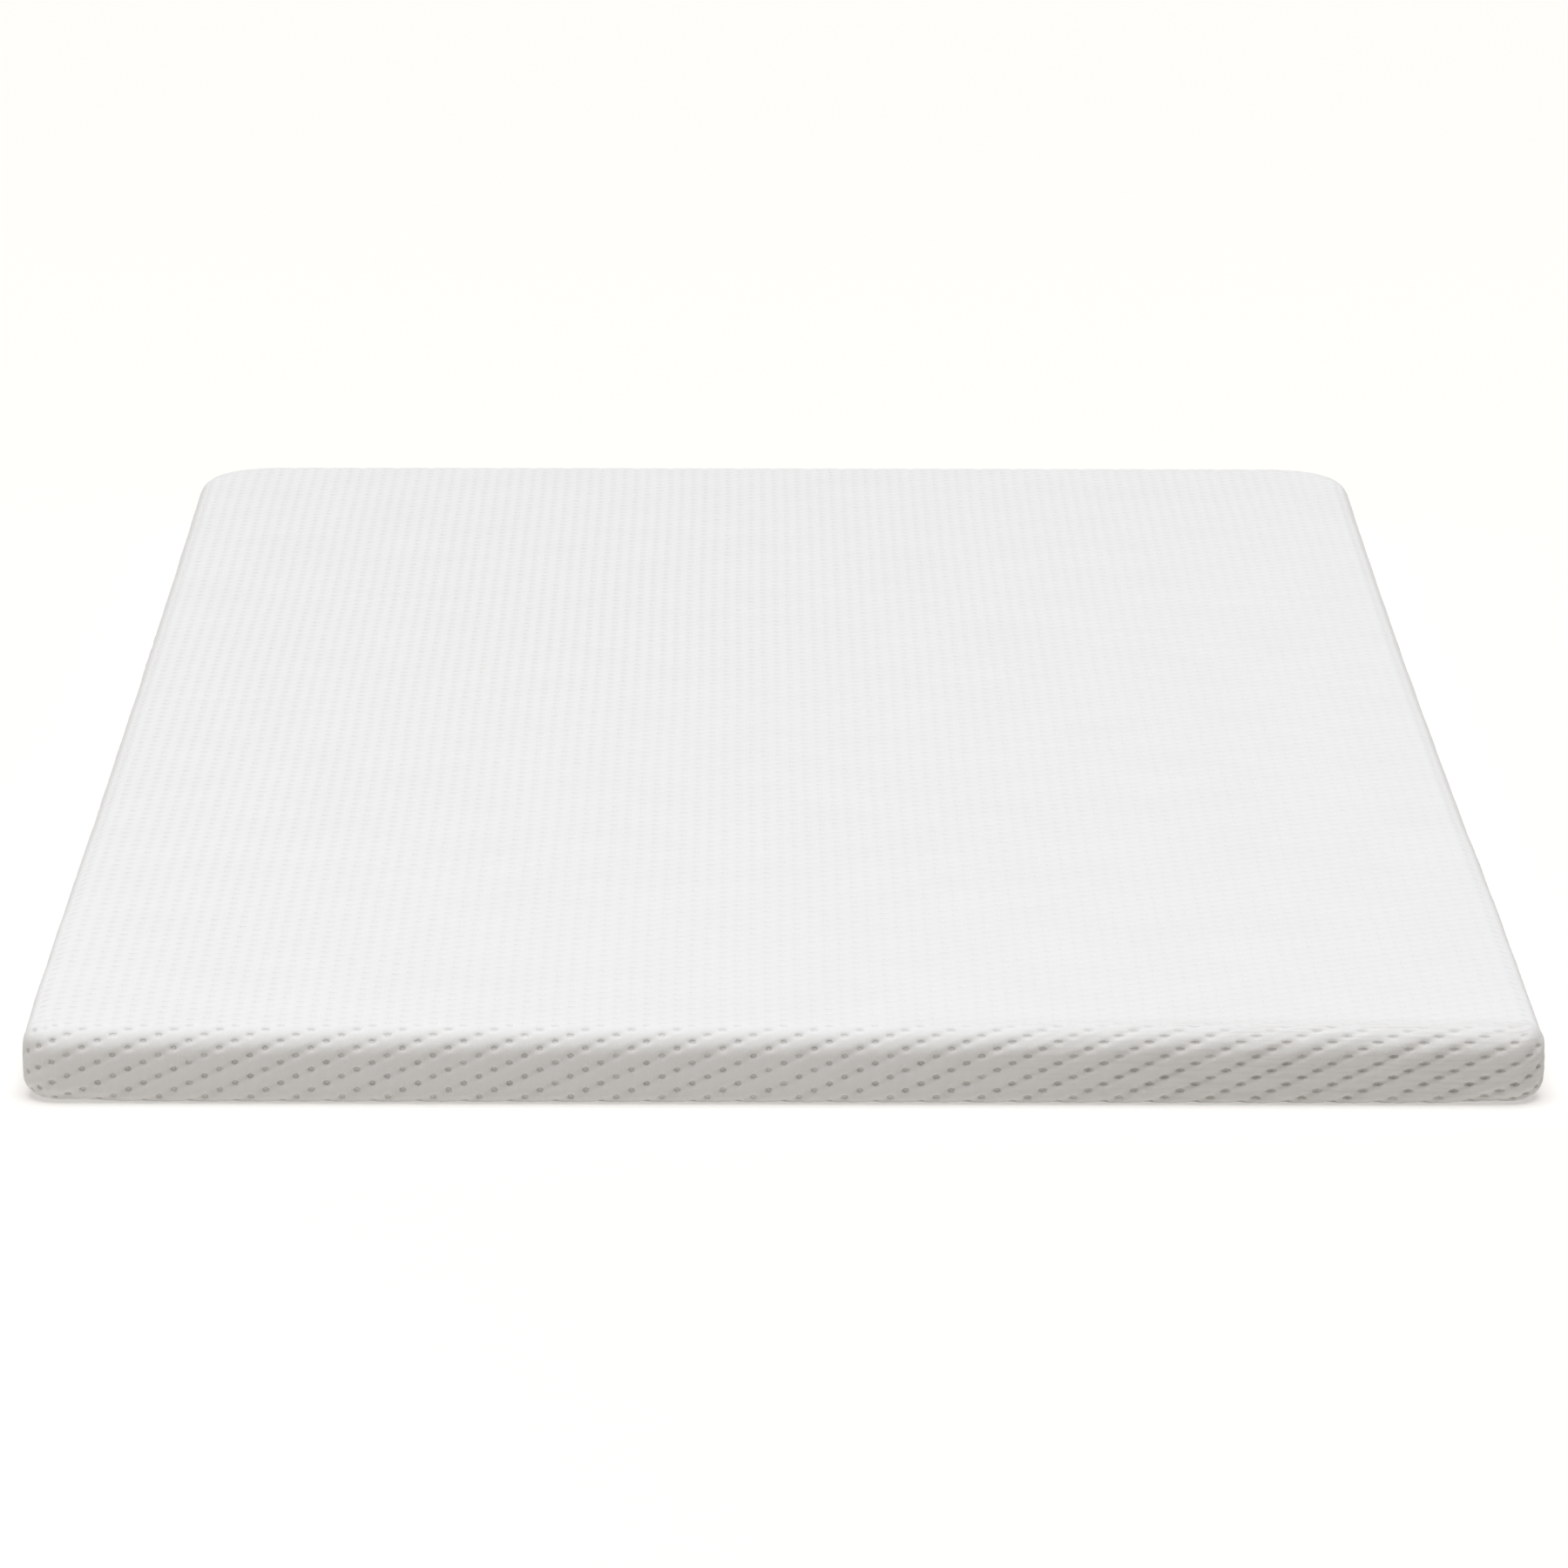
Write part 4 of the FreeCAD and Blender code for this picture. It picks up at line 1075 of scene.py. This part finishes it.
def grip_finish():
    """A plain weave with a square grid of glossy dots: the distance to the nearest grid point makes each
    dot."""
    material, shader = new_material("grip_cloth", (0.70, 0.69, 0.66), 0.9)
    place = step(material, "UVMap", uv_map="cloth")
    squares = []
    for part in (0, 1):
        share = calc(material, "DIVIDE", step(material, "SeparateXYZ", place, out=part), DOT_SPACING)
        near = less(material, share, calc(material, "ROUND", share))
        squares.append(times(material, near, near))
    away = calc(material, "SQRT", plus(material, *squares))
    dot = spread(material, away, 0.13, 0.19, 1.0, 0.0)
    warp = stripes(material, place, YARN_SPACING, 0.3)
    weft = stripes(material, place, YARN_SPACING, 0.3, direction="Y")
    weave = times(material, warp, weft)
    cloth = mixed(material, weave, (0.66, 0.65, 0.62), (0.74, 0.73, 0.70))
    paint(material, shader, mixed(material, dot, cloth, (0.83, 0.83, 0.81)))
    gloss(material, shader, dot, 0.9, 0.35, 0.0, 1.0)
    bump(material, shader, plus(material, times(material, weave, 0.3), dot), 0.35 * MM, 0.9)
    return material


base_low, base_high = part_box("cover_base")
base_low.z += 0.3 * MM
base_high.z -= 0.9 * MM
base_cloth_form = slab_form(base_low, base_high, 0.1 * MM, 0.1 * MM, 44 * MM, 44 * MM)
base_cloth = closed_slab("base_cloth", base_cloth_form, 16 * MM, 4 * MM, 0.12 * MM, 45)
dress(base_cloth, "cover_base", grip_finish())

# %% [markdown]
# ## Stitches
# Every row of stitching is made of short threads, each a thin tube that rises from the cloth, runs over it
# and dips in again. One function makes a whole row at once from the two ends of each stitch and the way the
# cloth faces.

# %% Stitch maker
THREAD = 0.30 * MM


def stitch_row(name, starts, ends, facing, radius=THREAD, lift=0.35 * MM, rings=6, sides=6):
    """A row of stitches as one piece.

    A stitch's line is its start, plus a share of the way to its end, plus lift times the root of the sine
    of a half turn. Its radius follows the same root, so both ends close to a point. Rings stand across
    the line.
    """
    share = np.linspace(0.0, 1.0, rings)
    arch = np.sqrt(np.sin(math.pi * share).clip(0.0, 1.0))
    run = ends - starts
    line = starts[:, None] + run[:, None] * share[:, None] + facing[:, None] * (lift * arch)[:, None]
    ahead = run / np.linalg.norm(run, axis=-1, keepdims=True)
    across_way = np.cross(ahead, facing)
    angle = np.linspace(0.0, 2 * math.pi, sides, endpoint=False)
    ring = across_way[:, None, None] * np.cos(angle)[:, None]
    ring = ring + facing[:, None, None] * np.sin(angle)[:, None]
    points = line[:, :, None] + ring * (radius * (0.02 + 0.98 * arch))[None, :, None, None]
    one = grid_quads(rings, sides, ring=True)[:, ::-1]
    first = np.arange(len(starts)) * rings * sides
    quads = (one[None] + first[:, None, None]).reshape(-1, 4)
    start_cap = first[:, None] + np.array([0, 1, 2, 3]), first[:, None] + np.array([0, 3, 4, 5])
    end_cap = tuple((cap + (rings - 1) * sides)[:, ::-1] for cap in start_cap)
    quads = np.concatenate([quads, *start_cap, *end_cap])
    return new_piece(name, points, quads)


def thread_finish():
    """Polyester sewing thread: a twist seen as fine slanting bands, and a soft gloss."""
    material, shader = new_material("sewing_thread", (0.78, 0.77, 0.74), 0.55)
    shader.inputs["Sheen Weight"].default_value = 0.3
    place = step(material, "TexCoord", out=3)
    turned = step(material, "Mapping", place, None, (0.0, 0.6, 0.8))
    twist = stripes(material, turned, 0.35 * MM, 0.5)
    paint(material, shader, mixed(material, twist, (0.70, 0.69, 0.66), (0.83, 0.82, 0.80)))
    bump(material, shader, twist, 0.06 * MM, 0.7)
    return material


thread = thread_finish()


def sew(piece, node):
    """What every row of stitches is told."""
    dress(piece, node, thread)


# %% [markdown]
# ## The base seam
# The cap and the base cloth are overlocked all the way round. The row follows a rounded rectangle, walked
# by its length: four straight runs and four quarter circles.

# %% Base seam
def ring_walk(half_width, half_length, corner, spacing):
    """Points evenly spaced along a rounded rectangle, and the way ahead at each, from the length walked."""
    arc = corner * math.pi / 2
    runs = np.array([2 * (half_width - corner), arc, 2 * (half_length - corner), arc] * 2)
    ends = np.cumsum(runs)
    count = int(ends[-1] / spacing)
    walked = np.arange(count) * ends[-1] / count
    part = np.searchsorted(ends, walked, side="right")
    along_part = walked - (ends - runs)[part]
    side = part // 2
    curved = part % 2 == 1
    turned = side * math.pi / 2 + np.where(curved, along_part / corner, 0.0)
    wide = np.where(side % 2 == 0, half_width - corner, half_length - corner)
    tall = np.where(side % 2 == 0, half_length - corner, half_width - corner)
    ahead = np.where(curved, wide, along_part - wide)
    local_x = ahead + np.where(curved, corner * np.sin(along_part / corner), 0.0)
    local_y = -tall - corner * np.where(curved, np.cos(along_part / corner), 1.0)
    base_turn = side * math.pi / 2
    x = local_x * np.cos(base_turn) - local_y * np.sin(base_turn)
    y = local_x * np.sin(base_turn) + local_y * np.cos(base_turn)
    return np.stack([x, y], -1), np.stack([np.cos(turned), np.sin(turned)], -1)


ROW_INSET = SEAM_INSET + 0.5 * MM
ROW_CORNER = 44.5 * MM
SEAM_STITCH = 3.6 * MM
seam_point, seam_ahead = ring_walk(HALF_WIDTH - ROW_INSET, HALF_LENGTH - ROW_INSET, ROW_CORNER, SEAM_STITCH)
seam_out = np.stack([seam_ahead[:, 1], -seam_ahead[:, 0]], -1)
level = np.full(len(seam_point), 0.75 * MM)
down = np.tile([0.0, 0.0, -1.0], (len(seam_point), 1))
half_stitch = seam_out * 2.0 * MM + seam_ahead * 0.7 * MM
inner_end = np.column_stack([seam_point - half_stitch, level])
outer_end = np.column_stack([seam_point + half_stitch, level])
sew(stitch_row("base_seam_stitches", inner_end, outer_end, down, lift=0.35 * MM), "base_seam_thread")
print(f"{len(seam_point)} stitches round the base")

# %% [markdown]
# ## The sock's end seams
# The sock's ends are closed by a row round each end, low on the wall.

# %% Sock seams
sock_seam_low, sock_seam_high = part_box("liner_end_seams")
SOCK_STITCH = 3.0 * MM
sock_half = (sock_seam_high.x - 0.2 * MM, sock_seam_high.y - 0.2 * MM)
sock_point, sock_ahead = ring_walk(*sock_half, 18.6 * MM, SOCK_STITCH)
on_ends = np.abs(sock_point[:, 1]) > sock_seam_high.y - 4 * MM
sock_point, sock_ahead = sock_point[on_ends], sock_ahead[on_ends]
sock_out = np.column_stack([sock_ahead[:, 1], -sock_ahead[:, 0], np.zeros(len(sock_point))])
middle_height = (sock_seam_low.z + sock_seam_high.z) / 2
slant = np.column_stack([sock_ahead * 0.5 * MM, np.full(len(sock_point), 1.0 * MM)])
centre_line = np.column_stack([sock_point, np.full(len(sock_point), middle_height)])
sock_row = stitch_row("sock_end_stitches", centre_line - slant, centre_line + slant, sock_out, lift=0.1 * MM)
sew(sock_row, "liner_end_seams")

# %% [markdown]
# ## The zip's tapes
# Each tape is a narrow herringbone ribbon behind the edge of the knit. In the slot it is flat. Beyond it
# the tape follows the inside of the cover, round the same arcs with a smaller radius.

# %% Tapes
def tape_finish():
    """Woven ribbon: fine ribs along it that slant one way and then the other."""
    material, shader = new_material("zip_ribbon", (0.74, 0.73, 0.71), 0.7)
    shader.inputs["Sheen Weight"].default_value = 0.15
    place = step(material, "UVMap", uv_map="cloth")
    u = step(material, "SeparateXYZ", place)
    v = step(material, "SeparateXYZ", place, out=1)
    fold = calc(material, "PINGPONG", v, 1.4 * MM)
    rib = calc(material, "SINE", times(material, plus(material, u, fold), 2 * math.pi / (0.9 * MM)))
    rib = spread(material, rib, -1.0, 1.0, 0.0, 1.0)
    paint(material, shader, mixed(material, rib, (0.66, 0.65, 0.63), (0.78, 0.77, 0.75)))
    bump(material, shader, rib, 0.12 * MM, 0.8)
    return material


BEHIND_KNIT = CLOTH + 0.35 * MM
TAPE_RIPPLE = 0.12 * MM
TAPE_WAVE = 21 * MM


def tape(node, name, inner_edge):
    """A tape from its edge in the slot to its hidden edge.

    Its distance out is level on the wall. Above the wall it is the arc's centre plus the root of the
    inner radius squared less the height above the centre squared, and the same below.
    """
    low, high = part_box(node)
    z, x = np.meshgrid(np.linspace(low.z, high.z, 12), np.linspace(low.x, high.x, 400), indexing="ij")
    out = np.full_like(x, HALF_LENGTH - BEHIND_KNIT)
    for edge, past in ((TOP_EDGE, z - (HEIGHT - TOP_EDGE)), (BOTTOM_EDGE, BOTTOM_EDGE - z)):
        rise = np.sqrt(np.clip((edge - BEHIND_KNIT) ** 2 - np.clip(past, 0, None) ** 2, 0, None))
        out = np.where(past > 0, HALF_LENGTH - edge + rise, out)
    ripple = TAPE_RIPPLE * np.sin(x * 2 * math.pi / TAPE_WAVE)
    out += ripple * smooth_step(np.abs(z - inner_edge), 0.0, 4 * MM)
    points = np.stack([x, out, z], -1)
    ribbon = new_piece(name, points, grid_quads(*x.shape)[:, ::-1], np.stack([x, z], -1))
    add_wall(ribbon, 0.5 * MM)
    dress(ribbon, node, ribbon_finish)


ribbon_finish = tape_finish()
tape("zip_tape_upper", "zip_tape_above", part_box("zip_tape_upper")[0].z)
tape("zip_tape_lower", "zip_tape_below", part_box("zip_tape_lower")[1].z)

# %% [markdown]
# ## The zip's coils
# A nylon coil zip has no separate teeth. Each side is one monofilament wound into a flat coil, and the
# turns of one side sit between those of the other. So each row is a tube carried along a flattened helix,
# half a turn apart.

# %% Coils
COIL_PITCH = 1.5 * MM
FILAMENT = 0.36 * MM
PAST_MIDDLE = 0.22 * MM
TURN_POINTS = 14
TUBE_SIDES = 6


def nylon_finish():
    """Smooth nylon filament, slightly clear, with faint drawn lines."""
    material, shader = new_material("nylon_coil", (0.80, 0.79, 0.77), 0.32)
    shader.inputs["Subsurface Weight"].default_value = 0.2
    shader.inputs["Subsurface Scale"].default_value = 0.001
    place = step(material, "TexCoord", out=3)
    tint = step(material, "TexNoise", place, None, 260.0, 3.0)
    paint(material, shader, mixed(material, tint, (0.72, 0.71, 0.69), (0.84, 0.83, 0.81)))
    drawn = step(material, "TexNoise", place, None, 2500.0, 2.0)
    gloss(material, shader, drawn, 0.26, 0.42)
    bump(material, shader, drawn, 0.02 * MM, 0.5)
    return material


def coil(node, name, side, shift):
    """One row of the chain: x grows by the pitch each turn, and y and z go round a flat oval.

    The oval's centre is the row's, its height reaches a little past the zip's middle line on the other
    row's side.
    """
    low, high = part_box(node)
    turns = int((high.x - low.x - 2 * FILAMENT) / COIL_PITCH) - 1
    share = np.arange(turns * TURN_POINTS + 1) / TURN_POINTS
    angle = 2 * math.pi * (share + shift)
    deep = (high.y - low.y) / 2 - FILAMENT
    tall = (high.z - low.z) / 2 - FILAMENT + PAST_MIDDLE
    middle_z = (low.z + high.z) / 2 - side * PAST_MIDDLE
    flattened = np.sign(np.sin(angle)) * np.abs(np.sin(angle)) ** 0.7
    line_x = low.x + FILAMENT + (share + shift) * COIL_PITCH
    line_y = (low.y + high.y) / 2 + deep * np.cos(angle)
    line = np.stack([line_x, line_y, middle_z + tall * flattened], -1)
    ahead = np.gradient(line, axis=0)
    ahead /= np.linalg.norm(ahead, axis=1, keepdims=True)
    first = np.cross(ahead, [1.0, 0.0, 0.0])
    first /= np.linalg.norm(first, axis=1, keepdims=True)
    second = np.cross(ahead, first)
    around = np.linspace(0.0, 2 * math.pi, TUBE_SIDES, endpoint=False)[:, None]
    tube = line[:, None] + FILAMENT * (first[:, None] * np.cos(around) + second[:, None] * np.sin(around))
    quads = grid_quads(len(line), TUBE_SIDES, ring=True)
    start_cap = np.array([[0, 5, 4, 3], [0, 3, 2, 1]])
    end_cap = np.array([[0, 1, 2, 3], [0, 3, 4, 5]]) + (len(line) - 1) * TUBE_SIDES
    caps = np.concatenate([start_cap, end_cap])
    row = new_piece(name, tube, np.concatenate([quads, caps])[:, ::-1])
    dress(row, node, nylon)


nylon = nylon_finish()
coil("zip_coil_upper", "zip_coil_above", 1.0, 0.0)
coil("zip_coil_lower", "zip_coil_below", -1.0, 0.5)

# %% [markdown]
# ## The zip's stitching
# A row of stitches holds each tape to the knit, close to the folded edge. Dense bar tacks close both ends
# of the slot, and two short rows join the ends of the band to the cap.

# %% Zip stitching
OUTWARD = np.array([0.0, 1.0, 0.0])


def stitch_line(name, from_point, to_point, length, gap, slant=(0.0, 0.0, 0.0), lift=0.4 * MM):
    """Stitches of a length along a straight line, a gap apart. A slant turns each one across the line."""
    from_point, to_point = np.array(from_point, float), np.array(to_point, float)
    run = to_point - from_point
    count = max(1, int(np.linalg.norm(run) / (length + gap)))
    ahead = run / np.linalg.norm(run)
    middles = from_point + run * ((np.arange(count) + 0.5) / count)[:, None]
    half = ahead * length / 2 + np.array(slant)
    facing = np.tile(OUTWARD, (count, 1))
    return stitch_row(name, middles - half, middles + half, facing, lift=lift)


wall_y = HALF_LENGTH - 0.15 * MM


def long_row(node, name, length=2.4 * MM, gap=0.7 * MM):
    """A row along the zip, at the middle of its node."""
    low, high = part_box(node)
    z = (low.z + high.z) / 2
    sew(stitch_line(name, (low.x, wall_y, z), (high.x, wall_y, z), length, gap), node)


long_row("zip_stitching_upper", "stitches_above_zip")
long_row("zip_stitching_lower", "stitches_below_zip")


def paired_rows(node, name, length, gap, slant=(0.0, 0.0, 0.0), lift=0.4 * MM):
    """The same short upright row at both ends of the slot, as one piece."""
    low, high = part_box(node)
    rows = []
    for side in (-1.0, 1.0):
        x = side * (ZIP_HALF + high.x) / 2
        ends = (x, wall_y, low.z), (x, wall_y, high.z)
        rows.append(stitch_line(f"{name}_part", *ends, length, gap, slant, lift))
    bpy.ops.object.select_all(action="DESELECT")
    for row in rows:
        row.select_set(True)
    bpy.context.view_layer.objects.active = rows[0]
    bpy.ops.object.join()
    rows[0].name = name
    sew(rows[0], node)


paired_rows("zip_end_tacks", "bar_tacks", 0.05 * MM, 0.38 * MM, slant=(1.1 * MM, 0.0, 0.0), lift=0.45 * MM)
paired_rows("strip_end_stitching", "band_end_stitches", 2.0 * MM, 0.6 * MM)

# %% [markdown]
# ## Metal parts of the zip
# The stops, slider and puller keep their own solid shapes. They are die-cast zinc with a satin nickel
# plate: fine grain in how glossy it is, and edges that have worn a little brighter.

# %% Zip metal
def plated_finish(name, colour, worn):
    """Satin plate: cast grain as relief, a cloudy gloss, and brighter metal on the worn high spots."""
    material, shader = new_material(name, colour, 0.3)
    shader.inputs["Metallic"].default_value = 1.0
    place = step(material, "TexCoord", out=3)
    cloud = step(material, "TexNoise", place, None, 300.0, 4.0)
    grain = step(material, "TexNoise", place, None, 2600.0, 2.0)
    rubbed = spread(material, cloud, 0.5, 0.72, 0.0, 1.0)
    paint(material, shader, mixed(material, rubbed, colour, worn))
    gloss(material, shader, grain, 0.22, 0.42)
    bump(material, shader, grain, 0.03 * MM, 0.5)
    return material


plate = plated_finish("satin_nickel", (0.62, 0.61, 0.58), (0.80, 0.79, 0.77))
bright_plate = plated_finish("puller_nickel", (0.66, 0.65, 0.62), (0.84, 0.83, 0.81))
for node in ("zip_top_stops", "zip_bottom_stop", "slider_body", "slider_puller"):
    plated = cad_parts[node].data.materials
    plated.clear()
    plated.append(bright_plate if node == "slider_puller" else plate)
print("plated:", len(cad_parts["slider_body"].data.polygons), "faces on the slider")

# %% [markdown]
# ## The care label
# A blank satin label is sewn on beside the zip. Satin is a weave with long floats, so it shines in streaks
# along it.

# %% Care label
def satin_finish():
    """Satin ribbon: long fine floats as stretched noise, and a gloss that follows them."""
    material, shader = new_material("label_satin", (0.86, 0.86, 0.85), 0.4)
    shader.inputs["Anisotropic"].default_value = 0.5
    shader.inputs["Sheen Weight"].default_value = 0.2
    place = step(material, "UVMap", uv_map="cloth")
    long = step(material, "Mapping", place, None, None, (250.0, 6000.0, 1.0))
    floats = step(material, "TexNoise", long, None, 1.0, 2.0)
    paint(material, shader, mixed(material, floats, (0.80, 0.80, 0.79), (0.90, 0.90, 0.89)))
    gloss(material, shader, floats, 0.3, 0.5)
    bump(material, shader, floats, 0.03 * MM, 0.6)
    return material


def label_surface(low, high):
    """A label on the wall that lifts away a little towards its free corner, as the square of the share
    across."""
    across_share, up_share = np.meshgrid(np.linspace(0, 1, 40), np.linspace(0, 1, 22))
    x = low.x + (high.x - low.x) * across_share
    z = low.z + (high.z - low.z) * up_share
    curl = 2.2 * MM * across_share ** 2 * (1.0 - 0.6 * up_share)
    lift = curl + 0.15 * MM * np.sin(up_share * 9.0) * across_share
    y = HALF_LENGTH + 0.25 * MM + lift
    return np.stack([x, y, z], -1)


label_low, label_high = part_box("care_label")
label_points = label_surface(label_low, label_high)
label_cloth = np.stack([label_points[..., 0], label_points[..., 2]], -1)
label_quads = grid_quads(*label_points.shape[:2])[:, ::-1]
label = new_piece("care_label_ribbon", label_points, label_quads, label_cloth)
add_wall(label, 0.25 * MM, 0.0)
dress(label, "care_label", satin_finish())
